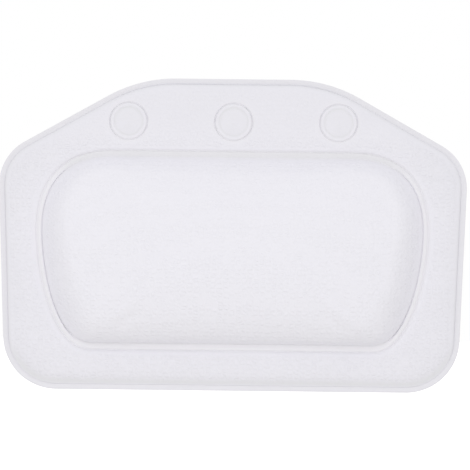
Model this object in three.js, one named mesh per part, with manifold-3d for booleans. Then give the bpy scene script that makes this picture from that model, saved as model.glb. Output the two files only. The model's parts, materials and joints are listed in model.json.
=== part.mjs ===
// Bath pillow: two welded sheets of foamed vinyl, a domed head pad and a flap with three suction cups.
// Millimetres. X runs across, Z up, and the front faces -Y. The plane y = 0 is the wall that the cups'
// lips lie on, and z = 0 is the height of the row of cups.
import * as THREE from "three";
import { mergeVertices } from "three/addons/utils/BufferGeometryUtils.js";
import Module from "manifold-3d";

const wasm = await Module();
wasm.setup();

// Outline: six corners before they are rounded, measured from the middle cup
const topRise = 30.5;
const topHalf = 66.4;
const topRadius = 98.6;
const shoulderDrop = 25.5;
const shoulderHalf = 165.8;
const shoulderRadius = 34.6;
const bottomDrop = 189.5;
const bottomHalf = 159.7;
const bottomRadius = 37.7;

// Head pad: the inner edge of its weld, inside the border
const sideBorder = 31.3;
const bottomBorder = 32.4;
const padTopDrop = 24.7;
const padWideDrop = 76.5;
const topCornerWidth = 50.9;
const bottomCornerWidth = 35.1;
const edgeRise = 22;
const edgeReach = 24;
const crownRise = 5;
const padReach = 49;
const topTaper = 0.55;
const backRise = 8;
const backReach = 40;
const backFullness = 0.7;

// How far each corner curve's handles run along its quarter
const topHandleAcross = 0.68;
const topHandleDown = 0.63;
const bottomHandleDown = 0.335;
const bottomHandleAcross = 0.71;

// Sheets and welds
const sheetThickness = 3;
const formedThickness = 2.2;
const pressedThickness = 1.2;
const borderCrown = 0.8;
const rollWidth = 3.5;
const rimWidth = 4;
const rimThickness = 2.8;
const rimEdgeThickness = 1.1;
const rimJoinThickness = 1.7;
const rimRound = 0.8;
const weldWidth = 4.5;
const weldRise = 1.3;
const weldFilm = 0.4;
const clearance = 0.3;

// Suction cups and the ring welds that hold them
const cupPitch = 74;
const cupHeight = 9;
const cupHollow = 5.6;
const lipRadius = 18;
const lipLand = 1.8;
const hollowSlope = 3.6;
const shoulderSeat = 7;
const neckRadius = 4;
const headRadius = 8;
const headThickness = 1.5;
const headBevel = 0.7;
const eyeletThickness = 0.6;
const ringInnerRadius = 9.9;
const ringOuterRadius = 13.2;
const ringRise = 1;
const discRise = 0.6;
const tabReach = 4;
const tabHalfWidth = 4;
const tabThickness = 1.4;
const tabLift = 0.6;

// Fold between flap and pad, above the pad's weld
const foldAboveWeld = 0.7;
const foldGap = 0.6;
const foldBackAngle = 45;
const foldFrontAngle = 20;
const foldSpareAngle = 4;

// How finely the forms are cut into facets
const fineSteps = 720;
const stationCount = 72;
const bendReach = 40;
const latheSegments = 32;
const curvePoints = 4;
const padRungs = [0.05, 0.16, 0.3, 0.5, 1].map((share) => share * padReach);
const hollowRungs = [0.05, 0.37, 1].map((share) => share * padReach);
const backRungs = [0.08, 0.35, 1].map((share) => share * backReach);

// Depths that follow from the sizes above
const sheetMiddle = -(cupHeight + clearance + sheetThickness + weldFilm / 2);
const frontFace = sheetMiddle - weldFilm / 2;
const backFace = sheetMiddle + weldFilm / 2;
const padHalf = shoulderHalf - sideBorder;
const padBottomDrop = bottomDrop - bottomBorder;
const padMiddle = new THREE.Vector2(0, -(padTopDrop + padBottomDrop) / 2);
const spineShare = 1 - (padBottomDrop - padTopDrop) / 2 / padHalf;
const foldHeight = -(padTopDrop - weldWidth - foldAboveWeld);

function roundedOutline() {
  const half = [
    { x: topHalf, z: topRise, radius: topRadius },
    { x: shoulderHalf, z: -shoulderDrop, radius: shoulderRadius },
    { x: bottomHalf, z: -bottomDrop, radius: bottomRadius },
  ];
  const left = half.map((corner) => ({ ...corner, x: -corner.x }));
  const corners = [...left, ...half.reverse()];
  const path = new THREE.Path();
  path.moveTo(0, topRise);
  corners.forEach((corner, i) => {
    const before = corners[(i + corners.length - 1) % corners.length];
    const after = corners[(i + 1) % corners.length];
    const heading = Math.atan2(corner.z - before.z, corner.x - before.x);
    const nextHeading = Math.atan2(after.z - corner.z, after.x - corner.x);
    const turn = THREE.MathUtils.euclideanModulo(nextHeading - heading, 2 * Math.PI);
    const reach = corner.radius * Math.tan(turn / 2);
    const x = corner.x - reach * Math.cos(heading) - corner.radius * Math.sin(heading);
    const z = corner.z - reach * Math.sin(heading) + corner.radius * Math.cos(heading);
    path.absarc(x, z, corner.radius, heading - Math.PI / 2, nextHeading - Math.PI / 2, false);
  });
  path.closePath();
  return path.getSpacedPoints(fineSteps).slice(0, fineSteps);
}

function padOutline() {
  const topFlat = padHalf - topCornerWidth;
  const bottomFlat = padHalf - bottomCornerWidth;
  const upper = padWideDrop - padTopDrop;
  const lower = padBottomDrop - padWideDrop;
  const corner = (path, side, start, acrossStart, downStart, acrossEnd, downEnd, end) =>
    path.bezierCurveTo(
      side * (start.x + acrossStart), start.z - downStart,
      side * (end.x + acrossEnd), end.z - downEnd,
      side * end.x, end.z,
    );
  const top = { x: topFlat, z: -padTopDrop };
  const wide = { x: padHalf, z: -padWideDrop };
  const bottom = { x: bottomFlat, z: -padBottomDrop };
  const topAcross = topHandleAcross * topCornerWidth;
  const topDown = topHandleDown * upper;
  const bottomDown = bottomHandleDown * lower;
  const bottomAcross = bottomHandleAcross * bottomCornerWidth;
  const path = new THREE.Path();
  path.moveTo(0, -padTopDrop);
  path.lineTo(-topFlat, -padTopDrop);
  corner(path, -1, top, topAcross, 0, 0, -topDown, wide);
  corner(path, -1, wide, 0, bottomDown, bottomAcross, 0, bottom);
  path.lineTo(bottomFlat, -padBottomDrop);
  corner(path, 1, bottom, bottomAcross, 0, 0, bottomDown, wide);
  corner(path, 1, wide, 0, -topDown, topAcross, 0, top);
  path.closePath();
  return path.getSpacedPoints(fineSteps).slice(0, fineSteps);
}

// A closed line moved outward along its normals
function shifted(points, outward) {
  return points.map((point, i) => {
    const before = points[(i + points.length - 1) % points.length];
    const after = points[(i + 1) % points.length];
    const along = after.clone().sub(before).normalize();
    return new THREE.Vector2(point.x + along.y * outward, point.y - along.x * outward);
  });
}

// Directions from the pad's middle, closer together where the outline bends
function stationAngles(points) {
  const directions = points.map((point, i) => points[(i + 1) % points.length].clone().sub(point));
  const sums = [0];
  directions.forEach((direction, i) => {
    const next = directions[(i + 1) % points.length];
    const turn = Math.asin(direction.clone().normalize().cross(next.clone().normalize()));
    sums.push(sums[i] + direction.length() + bendReach * Math.abs(turn));
  });
  const total = sums[points.length];
  return Array.from({ length: stationCount }, (_, station) => {
    const wanted = (total * station) / stationCount;
    const i = sums.findIndex((sum) => sum > wanted) - 1;
    const share = (wanted - sums[i]) / (sums[i + 1] - sums[i]);
    return points[i].clone().addScaledVector(directions[i], share).sub(padMiddle).angle();
  });
}

// Where each station's ray from the pad's middle meets a closed line
function atStations(points) {
  return angles.map((angle) => {
    const ray = new THREE.Vector2(Math.cos(angle), Math.sin(angle));
    const sides = points.map((point) => ray.cross(point.clone().sub(padMiddle)));
    const ahead = points.map((point) => ray.dot(point.clone().sub(padMiddle)) > 0);
    const i = sides.findIndex((side, k) => {
      const next = (k + 1) % points.length;
      return ahead[k] && ahead[next] && side <= 0 && sides[next] > 0;
    });
    const next = (i + 1) % points.length;
    return points[i].clone().lerp(points[next], sides[i] / (sides[i] - sides[next]));
  });
}

const outlinePoints = roundedOutline();
const padPoints = padOutline();
const angles = stationAngles(outlinePoints);
const padEdge = atStations(padPoints);
const rimLoop = (inset) => atStations(shifted(outlinePoints, -inset));
const weldLoop = (outset) => atStations(shifted(padPoints, outset));
const padLoop = (inset) =>
  padEdge.map((point) => {
    const spine = new THREE.Vector2(point.x * spineShare, padMiddle.y);
    return spine.sub(point).setLength(inset).add(point);
  });
const halfway = (one, other) => one.map((point, i) => point.clone().lerp(other[i], 0.5));
// A steady slope that rounds off at its end, and a low dome
const shouldered = (share) => (3 * Math.min(1, share) - Math.min(1, share) ** 3) / 2;
const domed = (share) => Math.sin((Math.PI / 2) * Math.min(1, share));
// The pad is lower towards its top: its share of the full height at a height z
const padShare = (z) => 1 - topTaper * ((z + padBottomDrop) / (padBottomDrop - padTopDrop)) ** 2;
const padCrown = (inset, z) => {
  const edge = edgeRise * shouldered(inset / (edgeReach * padShare(z)));
  return pressedThickness + padShare(z) * (edge + crownRise * domed(inset / padReach));
};
const backCrown = (inset) => pressedThickness + backRise * domed(inset / backReach) ** backFullness;
const depthAt = (depth, z) => (typeof depth === "function" ? depth(z) : depth);

// A closed solid through a stack of loops; each rung is a loop and its depth, which may vary with height
function stacked(rungs, isRing = false) {
  const positions = rungs.flatMap(([loop, depth]) =>
    loop.flatMap((point) => [point.x, depthAt(depth, point.y), point.y]),
  );
  const indices = [];
  const strip = (low, high) => {
    for (let s = 0; s < stationCount; s++) {
      const t = (s + 1) % stationCount;
      const [a, b] = [low * stationCount + s, low * stationCount + t];
      const [c, d] = [high * stationCount + t, high * stationCount + s];
      indices.push(a, b, c, a, c, d);
    }
  };
  const cap = (rung, turns) => {
    const loop = rungs[rung][0];
    for (const [a, b, c] of THREE.ShapeUtils.triangulateShape(loop, [])) {
      const turn = loop[b].clone().sub(loop[a]).cross(loop[c].clone().sub(loop[a]));
      const ordered = turn * turns > 0 ? [a, b, c] : [a, c, b];
      indices.push(...ordered.map((k) => k + rung * stationCount));
    }
  };
  for (let rung = 0; rung + 1 < rungs.length; rung++) strip(rung, rung + 1);
  if (isRing) {
    strip(rungs.length - 1, 0);
  } else {
    cap(0, -1);
    cap(rungs.length - 1, 1);
  }
  const geometry = new THREE.BufferGeometry();
  geometry.setAttribute("position", new THREE.Float32BufferAttribute(positions, 3));
  geometry.setIndex(indices);
  return toManifold(geometry);
}

function toManifold(geometry) {
  geometry.deleteAttribute("normal");
  geometry.deleteAttribute("uv");
  const merged = mergeVertices(geometry);
  const vertices = new Float32Array(merged.attributes.position.array);
  const corner = (k) => new THREE.Vector3().fromArray(vertices, 3 * k);
  const faces = [];
  for (let i = 0; i < merged.index.count; i += 3) {
    const face = [0, 1, 2].map((k) => merged.index.array[i + k]);
    if (new Set(face).size === 3) faces.push(face);
  }
  const volume = faces.reduce((sum, [a, b, c]) => sum + corner(a).dot(corner(b).cross(corner(c))), 0);
  const outward = volume > 0 ? faces : faces.map(([a, b, c]) => [a, c, b]);
  const triVerts = new Uint32Array(outward.flat());
  return new wasm.Manifold(new wasm.Mesh({ numProp: 3, vertProperties: vertices, triVerts }));
}

function turned(path, across = 0) {
  const profile = path.getPoints(curvePoints);
  return toManifold(new THREE.LatheGeometry(profile, latheSegments).translate(across, 0, 0));
}

function washer(inner, outer, front, back, across) {
  const path = new THREE.Path();
  path.moveTo(inner, front);
  path.lineTo(outer, front);
  path.lineTo(outer, back);
  path.lineTo(inner, back);
  path.closePath();
  return turned(path, across);
}

function plug(radius, front, back, across) {
  const path = new THREE.Path();
  path.moveTo(0, front);
  path.lineTo(radius, front);
  path.lineTo(radius, back);
  path.lineTo(0, back);
  return turned(path, across);
}

// The space on one side of the fold, with a wedge left out so that the pad can swing both ways
function foldSide(up) {
  const spread = 2 * bottomDrop;
  const slope = (angle) => Math.tan(THREE.MathUtils.degToRad((angle + foldSpareAngle) / 2));
  const shape = new THREE.Shape();
  shape.moveTo(sheetMiddle, up * (foldGap / 2));
  shape.lineTo(sheetMiddle + spread, up * (foldGap / 2 + spread * slope(foldBackAngle)));
  shape.lineTo(sheetMiddle + spread, up * spread);
  shape.lineTo(sheetMiddle - spread, up * spread);
  shape.lineTo(sheetMiddle - spread, up * (foldGap / 2 + spread * slope(foldFrontAngle)));
  const geometry = new THREE.ExtrudeGeometry(shape, { depth: 2 * spread, bevelEnabled: false });
  const across = new THREE.Matrix4().makeBasis(
    new THREE.Vector3(0, 1, 0),
    new THREE.Vector3(0, 0, 1),
    new THREE.Vector3(1, 0, 0),
  );
  geometry.applyMatrix4(across).translate(-spread, 0, foldHeight);
  return toManifold(geometry);
}

// Rungs in front of the front sheet's inner face, or behind the back sheet's
const ahead = (rungs) => rungs.map(([loop, depth]) => [loop, (z) => frontFace - depthAt(depth, z)]);
const behind = (rungs) => rungs.map(([loop, depth]) => [loop, (z) => backFace + depthAt(depth, z)]);

// Where the chamber's wall leaves the flat inner face of a sheet
function chamberStart(rungs, crown) {
  const lowest = crown(rungs[0], -padTopDrop) - pressedThickness;
  return formedThickness + (rungs[0] * (formedThickness - pressedThickness)) / lowest;
}

// The inside of a formed sheet, from its crown out to the flat inner face
function chamber(rungs, crown) {
  const curved = rungs.map((inset) => [
    padLoop(inset + formedThickness),
    (z) => crown(inset, z) - formedThickness,
  ]);
  return [...curved.reverse(), [padLoop(chamberStart(rungs, crown)), 0]];
}

// Front sheet: rim edge, puffed border, raised weld band, then the domed pad, hollow for the core
function frontSheet() {
  const edge = rimWidth + clearance;
  const outerRoll = rimLoop(edge + rollWidth);
  const innerRoll = weldLoop(weldWidth + rollWidth);
  const outer = [
    [rimLoop(edge), pressedThickness],
    [outerRoll, sheetThickness],
    [halfway(outerRoll, innerRoll), sheetThickness + borderCrown],
    [innerRoll, sheetThickness],
    [weldLoop(weldWidth), pressedThickness],
    [weldLoop(weldWidth / 2), pressedThickness + weldRise],
    [padEdge, pressedThickness],
    ...padRungs.map((inset) => [padLoop(inset), (z) => padCrown(inset, z)]),
  ];
  const inner = [...chamber(hollowRungs, padCrown), [rimLoop(edge), 0]];
  return stacked(ahead([...inner, ...outer]));
}

// Back sheet: flat border and flap, a pressed weld line, then a shallow bulge behind the core
function backSheet() {
  const edge = rimWidth + clearance;
  const outer = [
    [rimLoop(edge), pressedThickness],
    [rimLoop(edge + rollWidth), sheetThickness],
    [weldLoop(weldWidth + rollWidth), sheetThickness],
    [weldLoop(weldWidth), pressedThickness],
    [padEdge, pressedThickness],
    ...backRungs.map((inset) => [padLoop(inset), backCrown(inset)]),
  ];
  const inner = [...chamber(backRungs, backCrown), [rimLoop(edge), 0]];
  return stacked(behind([...inner, ...outer]));
}

// Foam core: fills the chamber, one clearance inside both sheets
function padCore() {
  const wall = formedThickness + clearance;
  const inside = (rungs, crown) =>
    rungs.map((inset) => [padLoop(inset + wall), (z) => crown(inset, z) - wall]);
  const start = Math.max(chamberStart(hollowRungs, padCrown), chamberStart(backRungs, backCrown));
  const front = ahead(inside(hollowRungs, padCrown));
  const back = behind(inside(backRungs, backCrown));
  return stacked([...front.reverse(), [padLoop(start + clearance), sheetMiddle], ...back]);
}

// Rim weld: a rounded ribbon that closes both sheets' edges
function rimWeld() {
  const profile = [
    [0, rimEdgeThickness / 2],
    [rimRound, rimThickness / 2],
    [rimWidth - rimRound, rimThickness / 2],
    [rimWidth, rimJoinThickness / 2],
  ];
  const wallSide = profile.map(([inset, depth]) => [rimLoop(inset), sheetMiddle + depth]);
  const headSide = profile.map(([inset, depth]) => [rimLoop(inset), sheetMiddle - depth]);
  return stacked([...wallSide, ...headSide.reverse()], true);
}

// Pad weld: the fused film under the weld band
function padWeld() {
  const inner = padEdge;
  const outer = weldLoop(weldWidth);
  return stacked([[inner, frontFace], [outer, frontFace], [outer, backFace], [inner, backFace]], true);
}

// What the ring weld raises on the flap's front: a bead round a slightly puffed disc
function ringEmboss(across) {
  const top = frontFace - sheetThickness - borderCrown;
  const middle = (ringInnerRadius + ringOuterRadius) / 2;
  const path = new THREE.Path();
  path.moveTo(0, frontFace - pressedThickness);
  path.lineTo(ringOuterRadius, frontFace - pressedThickness);
  path.lineTo(ringOuterRadius, top);
  path.quadraticCurveTo(middle, top - 2 * ringRise, ringInnerRadius, top);
  path.quadraticCurveTo(ringInnerRadius, top - discRise, 0, top - discRise);
  return turned(path, across);
}

// Suction cup: mushroom head in the pocket, neck through the eyelet, bell against the wall, pull tab
function suctionCup(across) {
  const headBack = backFace - eyeletThickness - clearance;
  const headFront = headBack - headThickness;
  const lipInner = lipRadius - lipLand;
  const path = new THREE.Path();
  path.moveTo(0, headFront);
  path.lineTo(headRadius - headBevel, headFront);
  path.lineTo(headRadius, headFront + headBevel);
  path.lineTo(headRadius, headBack);
  path.lineTo(neckRadius, headBack);
  path.lineTo(neckRadius, -cupHeight);
  path.lineTo(shoulderSeat, -cupHeight);
  path.quadraticCurveTo(lipInner, -cupHeight, lipRadius, 0);
  path.lineTo(lipInner, 0);
  path.quadraticCurveTo(lipInner - hollowSlope, -cupHollow, 0, -cupHollow);
  const tab = new THREE.Shape();
  tab.moveTo(tabHalfWidth, -(lipRadius - lipLand / 2));
  tab.lineTo(-tabHalfWidth, -(lipRadius - lipLand / 2));
  tab.absarc(0, -(lipRadius + tabReach - tabHalfWidth), tabHalfWidth, Math.PI, 2 * Math.PI, false);
  const flat = new THREE.ExtrudeGeometry(tab, {
    depth: tabThickness, bevelEnabled: false, curveSegments: 2 * curvePoints,
  });
  const upright = new THREE.Matrix4().makeBasis(
    new THREE.Vector3(1, 0, 0),
    new THREE.Vector3(0, 0, 1),
    new THREE.Vector3(0, -1, 0),
  );
  flat.applyMatrix4(upright).translate(across, -tabLift, 0);
  return turned(path, across).add(toManifold(flat));
}

function surface(color, roughness) {
  return new THREE.MeshStandardMaterial({ color, roughness, metalness: 0 });
}

const vinyl = surface(0xf0eff4, 0.6);
const weldedVinyl = surface(0xecebf0, 0.4);
const foam = surface(0xe9e4d6, 0.95);
const clearVinyl = surface(0xdbe3e6, 0.2);

const object = new THREE.Group();

function add(name, solid, material) {
  const mesh = solid.getMesh();
  const geometry = new THREE.BufferGeometry();
  geometry.setAttribute("position", new THREE.BufferAttribute(mesh.vertProperties, 3));
  geometry.setIndex(new THREE.BufferAttribute(mesh.triVerts, 1));
  geometry.computeVertexNormals();
  const node = new THREE.Mesh(geometry, material);
  node.name = name;
  object.add(node);
}

const front = frontSheet();
const back = backSheet();
const rim = rimWeld();
const flapSide = foldSide(1);
const padSide = foldSide(-1);
const cups = [
  { name: "left", across: -cupPitch },
  { name: "middle", across: 0 },
  { name: "right", across: cupPitch },
];
const pocketRadius = ringInnerRadius - clearance;
const pocketFront = backFace - eyeletThickness - headThickness - 2 * clearance;

let flapFront = front.intersect(flapSide);
let flapBack = back.intersect(flapSide);
for (const { across } of cups) {
  flapFront = flapFront.add(ringEmboss(across));
  flapFront = flapFront.subtract(plug(pocketRadius, pocketFront, backFace, across));
  flapBack = flapBack.subtract(plug(neckRadius + 2 * clearance, frontFace, 0, across));
}

add("flap_front_sheet", flapFront, vinyl);
add("flap_back_sheet", flapBack, vinyl);
add("flap_rim_weld", rim.intersect(flapSide), weldedVinyl);
add("pad_front_sheet", front.intersect(padSide), vinyl);
add("pad_back_sheet", back.intersect(padSide), vinyl);
add("pad_rim_weld", rim.intersect(padSide), weldedVinyl);
add("pad_weld", padWeld(), weldedVinyl);
add("pad_core", padCore(), foam);
for (const { name, across } of cups) {
  const weld = washer(ringInnerRadius, ringOuterRadius, frontFace, backFace, across);
  const eyeletFront = backFace - eyeletThickness;
  const eyelet = washer(neckRadius + clearance, pocketRadius - clearance, eyeletFront, backFace, across);
  add(`cup_weld_${name}`, weld, weldedVinyl);
  add(`eyelet_${name}`, eyelet, weldedVinyl);
  add(`suction_cup_${name}`, suctionCup(across), clearVinyl);
}

export default object;
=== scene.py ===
"""Bath pillow: two welded sheets of foamed vinyl over a foam pad, with three suction cups behind the flap."""
import json
import math

import bmesh
import bpy
import numpy as np
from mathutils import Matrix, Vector
from mathutils.bvhtree import BVHTree
from mathutils.geometry import delaunay_2d_cdt
from mathutils.interpolate import poly_3d_calc


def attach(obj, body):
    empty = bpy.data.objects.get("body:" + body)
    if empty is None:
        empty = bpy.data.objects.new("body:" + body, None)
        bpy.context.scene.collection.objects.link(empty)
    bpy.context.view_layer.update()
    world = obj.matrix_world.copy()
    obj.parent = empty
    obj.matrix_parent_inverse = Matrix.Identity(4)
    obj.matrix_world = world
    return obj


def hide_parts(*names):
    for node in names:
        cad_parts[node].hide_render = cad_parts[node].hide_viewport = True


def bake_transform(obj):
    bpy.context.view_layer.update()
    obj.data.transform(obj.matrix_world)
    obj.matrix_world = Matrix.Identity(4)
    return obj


bl_info = {
    "name": "Bath Pillow",
    "version": (1, 0, 0),
    "blender": (4, 5, 0),
    "location": "View3D > Sidebar > Bath Pillow",
    "description": "Builds a welded foam bath pillow with suction cups, and a plain stage for it",
    "category": "Object",
}

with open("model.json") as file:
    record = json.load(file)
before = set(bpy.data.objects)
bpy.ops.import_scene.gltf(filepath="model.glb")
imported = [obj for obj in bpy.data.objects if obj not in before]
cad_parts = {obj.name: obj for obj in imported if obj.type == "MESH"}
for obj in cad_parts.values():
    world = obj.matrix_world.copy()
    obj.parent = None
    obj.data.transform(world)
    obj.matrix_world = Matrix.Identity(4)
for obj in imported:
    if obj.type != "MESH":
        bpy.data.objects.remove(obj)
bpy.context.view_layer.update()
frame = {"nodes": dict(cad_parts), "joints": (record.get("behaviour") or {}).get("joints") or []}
FOLD_HEIGHT = next(joint["pos_m"][2] for joint in frame["joints"] if joint["name"] == "flap_fold")

# How finely the forms are cut into faces
FINE_POINTS = 2400
CURVE_POINTS = 400
CORNER_POINTS = 100
RIM_POINTS = 640
PAD_POINTS = 480
RING_POINTS = 96
POCKET_POINTS = 48
ROUND_POINTS = 24
EDGE_POINTS = 7
FILLET_POINTS = 5
ROLL_STRIPS = 9
WELD_STRIPS = 8
BAND_STRIPS = 18
FRONT_STRIPS = 30
BACK_STRIPS = 20
CHAMBER_STRIPS = 8
CORE_STRIPS = 9
BORDER_SPACING = 0.0023
CROWN_SPACING = 0.003
LINING_SPACING = 0.005
CLOTH_SPACING = 0.005
CLOTH_FRAMES = 20
SIDES = {"left": -1, "middle": 0, "right": 1}

# What each point of a sheet tells the material: how much emboss, which tone and how much fused vinyl
# A tone above 0 is lighter: over the pad, and as painted light beside it; below 0 it is painted shade
MARKS = ("emboss", "tone", "fused")

# Points far round a loop that is filled, so that no flat slivers form outside its straight runs
FAR_CORNERS = 2 * np.array([(-1, -1), (1, -1), (1, 1), (-1, 1)])

# Places closer than this are the same
TINY = 1e-9


def linear(hex_code):
    """The linear colour of an sRGB hex value."""
    shares = [int(hex_code[i:i + 2], 16) / 255 for i in (0, 2, 4)]
    return tuple(s / 12.92 if s <= 0.04045 else ((s + 0.055) / 1.055) ** 2.4 for s in shares)


def length(name, description, millimetres):
    """A size that is written in millimetres and kept in metres."""
    return bpy.props.FloatProperty(
        name=name, description=description, default=millimetres / 1000, precision=4, unit="LENGTH"
    )


def factor(name, description, default, most=1.0):
    """A plain number from nothing up to the most that makes sense."""
    return bpy.props.FloatProperty(
        name=name, description=description, default=default, min=0, max=most, subtype="FACTOR"
    )


def colour(name, description, hex_code):
    """A colour that is written as an sRGB hex value."""
    return bpy.props.FloatVectorProperty(
        name=name, description=description, default=linear(hex_code), min=0, max=1, subtype="COLOR"
    )


class PillowOutline(bpy.types.PropertyGroup):
    """The pillow's cut: six corners before they are rounded, measured from the middle cup."""

    top_rise: length("Top rise", "Top edge above the row of cups", 30.5)
    top_half: length("Top half", "Half the width between the top corners", 66.4)
    top_radius: length("Top radius", "Rounding of the top corners", 98.6)
    shoulder_drop: length("Shoulder drop", "Shoulder corners below the row of cups", 25.5)
    shoulder_half: length("Shoulder half", "Half the width between the shoulders", 165.8)
    shoulder_radius: length("Shoulder radius", "Rounding of the shoulders", 34.6)
    bottom_drop: length("Bottom drop", "Bottom edge below the row of cups", 189.5)
    bottom_half: length("Bottom half", "Half the width between the bottom corners", 159.7)
    bottom_radius: length("Bottom radius", "Rounding of the bottom corners", 37.7)


class PillowPad(bpy.types.PropertyGroup):
    """The domed head pad inside the border."""

    side_border: length("Side border", "From the outline's widest point to the pad", 31.3)
    bottom_border: length("Bottom border", "From the bottom edge to the pad", 32.4)
    top_drop: length("Top drop", "Pad's upper edge below the row of cups", 24.7)
    wide_drop: length("Wide drop", "Pad's widest height below the row of cups", 76.5)
    top_corner: length("Top corner", "Width of the upper corner curves", 50.9)
    bottom_corner: length("Bottom corner", "Width of the lower corner curves", 35.1)
    top_across: factor("Top across", "Upper corner's handle along its width", 0.68)
    top_down: factor("Top down", "Upper corner's handle along its height", 0.63)
    bottom_down: factor("Bottom down", "Lower corner's handle along its height", 0.335)
    bottom_across: factor("Bottom across", "Lower corner's handle along its width", 0.71)
    edge_rise: length("Edge rise", "Height of the pad's sloped edge over its weld", 22)
    edge_reach: length("Edge reach", "Width of the sloped edge", 24)
    crown_rise: length("Crown rise", "What the pad's crown adds to its edge", 5)
    reach: length("Reach", "How far in from the weld the crown still climbs", 49)
    softness: factor("Softness", "How much rounder the pad's corners get further in", 0.35)
    top_taper: factor("Top taper", "How much lower the pad is at its top", 0.55)
    pressure: factor("Pressure", "How hard the foam pushes the cover out", 4, 10)
    stiffness: factor("Stiffness", "How little the cover stretches", 40, 100)
    swell_most: length("Swell most", "Furthest that the foam may push a point", 3)
    back_rise: length("Back rise", "Height of the bulge behind the pad", 8)
    back_reach: length("Back reach", "How far in from the weld the back bulge climbs", 40)
    back_fullness: factor("Back fullness", "How soon the back bulge climbs; lower is fuller", 0.7)


class PillowSheets(bpy.types.PropertyGroup):
    """The two sheets and the welds between them."""

    thickness: length("Thickness", "Foamed sheet", 3)
    formed: length("Formed", "Sheet where it is drawn over the foam", 2.2)
    pressed: length("Pressed", "Sheet where a weld presses it", 1.2)
    crown: length("Crown", "How far the border swells in its middle", 0.8)
    rim_width: length("Rim width", "Fused rim all round", 4)
    rim_thickness: length("Rim thickness", "Fused rim, front to back", 2.8)
    rim_lift: length("Rim lift", "How far the rim's outer edge stands over its inner edge", 0.7)
    rim_round: length("Rim round", "Rounding of the rim's edges", 0.35)
    rim_roll: length("Rim roll", "Width over which the border rolls down to the rim", 6.5)
    low_roll: length("Low roll", "Width over which the lower border slopes down to the rim", 11)
    weld_width: length("Weld width", "Fused band round the pad", 4.2)
    weld_outer: length("Weld outer", "Height of the band at its outer edge", 2.4)
    weld_inner: length("Weld inner", "Height of the band at its lip over the pad's crease", 3.0)
    weld_top: length("Weld top", "Height of that lip along the pad's upper edge", 1.7)
    weld_low: length("Weld low", "Height of that lip along the pad's lower edge", 2.2)
    weld_lip: length("Weld lip", "Rounding of the band's lip", 0.9)
    weld_line: length("Weld line", "Depth of the line along the band's outer edge", 0.85)
    weld_roll: length("Weld roll", "Width over which the border rolls down to the band", 4)
    weld_crease: length("Weld crease", "Depth of the crease between the band's lip and the pad", 1.7)
    crease: length("Crease", "What is left of the sheet at the rim", 1.0)
    film: length("Film", "Fused film between the sheets", 0.4)
    clearance: length("Clearance", "Air between pieces", 0.3)


class PillowCups(bpy.types.PropertyGroup):
    """The suction cups and the ring welds that hold them."""

    pitch: length("Pitch", "Distance between neighbouring cups", 74)
    height: length("Height", "Bell, from lip to shoulder", 9)
    hollow: length("Hollow", "Depth of the bell's hollow", 5.6)
    lip_radius: length("Lip radius", "Outer edge of the bell", 18)
    lip_land: length("Lip land", "Flat sealing ring", 1.8)
    hollow_slope: length("Hollow slope", "How soon the hollow deepens", 3.6)
    shoulder_seat: length("Shoulder seat", "Flat top of the bell", 7)
    neck_radius: length("Neck radius", "Neck through the back sheet", 4)
    head_radius: length("Head radius", "Mushroom head in the pocket", 8)
    head_thickness: length("Head thickness", "Mushroom head", 1.5)
    eyelet: length("Eyelet", "Thickness of the washer behind the head", 0.6)
    ring_inner: length("Ring inner", "Inner radius of the ring weld", 9.9)
    ring_outer: length("Ring outer", "Outer radius of the ring weld", 13.2)
    ring_rise: length("Ring rise", "Bead over the flap", 1.0)
    ring_groove: length("Ring groove", "Depth of the groove round the bead", 0.9)
    disc_rise: length("Disc rise", "Puff inside the ring", 0.6)
    tab_reach: length("Tab reach", "Pull tab beyond the lip", 4)
    tab_half: length("Tab half", "Half the pull tab's width", 4)
    tab_thickness: length("Tab thickness", "Pull tab", 1.4)
    tab_lift: length("Tab lift", "Pull tab off the wall", 0.6)


class PillowFinish(bpy.types.PropertyGroup):
    """Colours and grain."""

    vinyl: colour("Vinyl", "Foamed vinyl sheet", "E8E7EE")
    # Lighter vinyl over the pad, and painted light on the border beside it and on the weld band
    vinyl_lighter: colour("Vinyl drawn", "Foamed vinyl where it is drawn thin over the pad", "EEEDF4")
    # Painted shade: darker vinyl along the rim's crease, over the lower border and on parts of the welds
    vinyl_shaded: colour("Vinyl pressed", "Foamed vinyl where a weld presses it", "E1E1E5")
    vinyl_fused: colour("Vinyl fused", "Tint of the sheet along a weld", "FFFFFD")
    weld: colour("Weld", "Fused vinyl", "E6E5EB")
    weld_shade: colour("Weld shade", "Fused vinyl where it was pressed harder", "E2E1E7")
    foam: colour("Foam", "Polyurethane foam", "E9E4D6")
    foam_pore_shade: colour("Foam pore", "Shade inside the foam's pores", "CFC8B6")
    cup: colour("Cup", "Clear soft vinyl", "F6F9FA")
    cup_haze: colour("Cup haze", "Clear vinyl's moulding haze", "E9F0F2")
    grain_length: length("Grain length", "Emboss pebble, across", 4.2)
    grain_height: length("Grain height", "Emboss pebble, up", 3.2)
    grain_depth: length("Grain depth", "Emboss pebble, in and out", 0.34)
    # Painted shade in the furrows between pebbles
    grain_painted_shade: factor("Grain shade", "How much darker the furrows between pebbles are", 0.012)


class PillowStage(bpy.types.PropertyGroup):
    """Camera, light and floor."""

    distance: length("Distance", "Camera to the sheets", 1600)
    view_width: length("View width", "Width of the view at the sheets", 331.9)
    aim_across: length("Aim across", "Middle of the view beside the middle cup", 1.8)
    aim_drop: length("Aim drop", "Middle of the view below the row of cups", 79.45)
    turn: bpy.props.FloatProperty(
        name="Turn", description="How far the pillow leans in the view", default=math.radians(0.65),
        subtype="ANGLE",
    )
    key_power: factor("Key power", "Soft lamp over the camera", 3.9, 100)
    ambient: factor("Ambient", "Light from the white room", 0.868)
    floor_drop: length("Floor drop", "Floor below the row of cups", 340)


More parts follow.
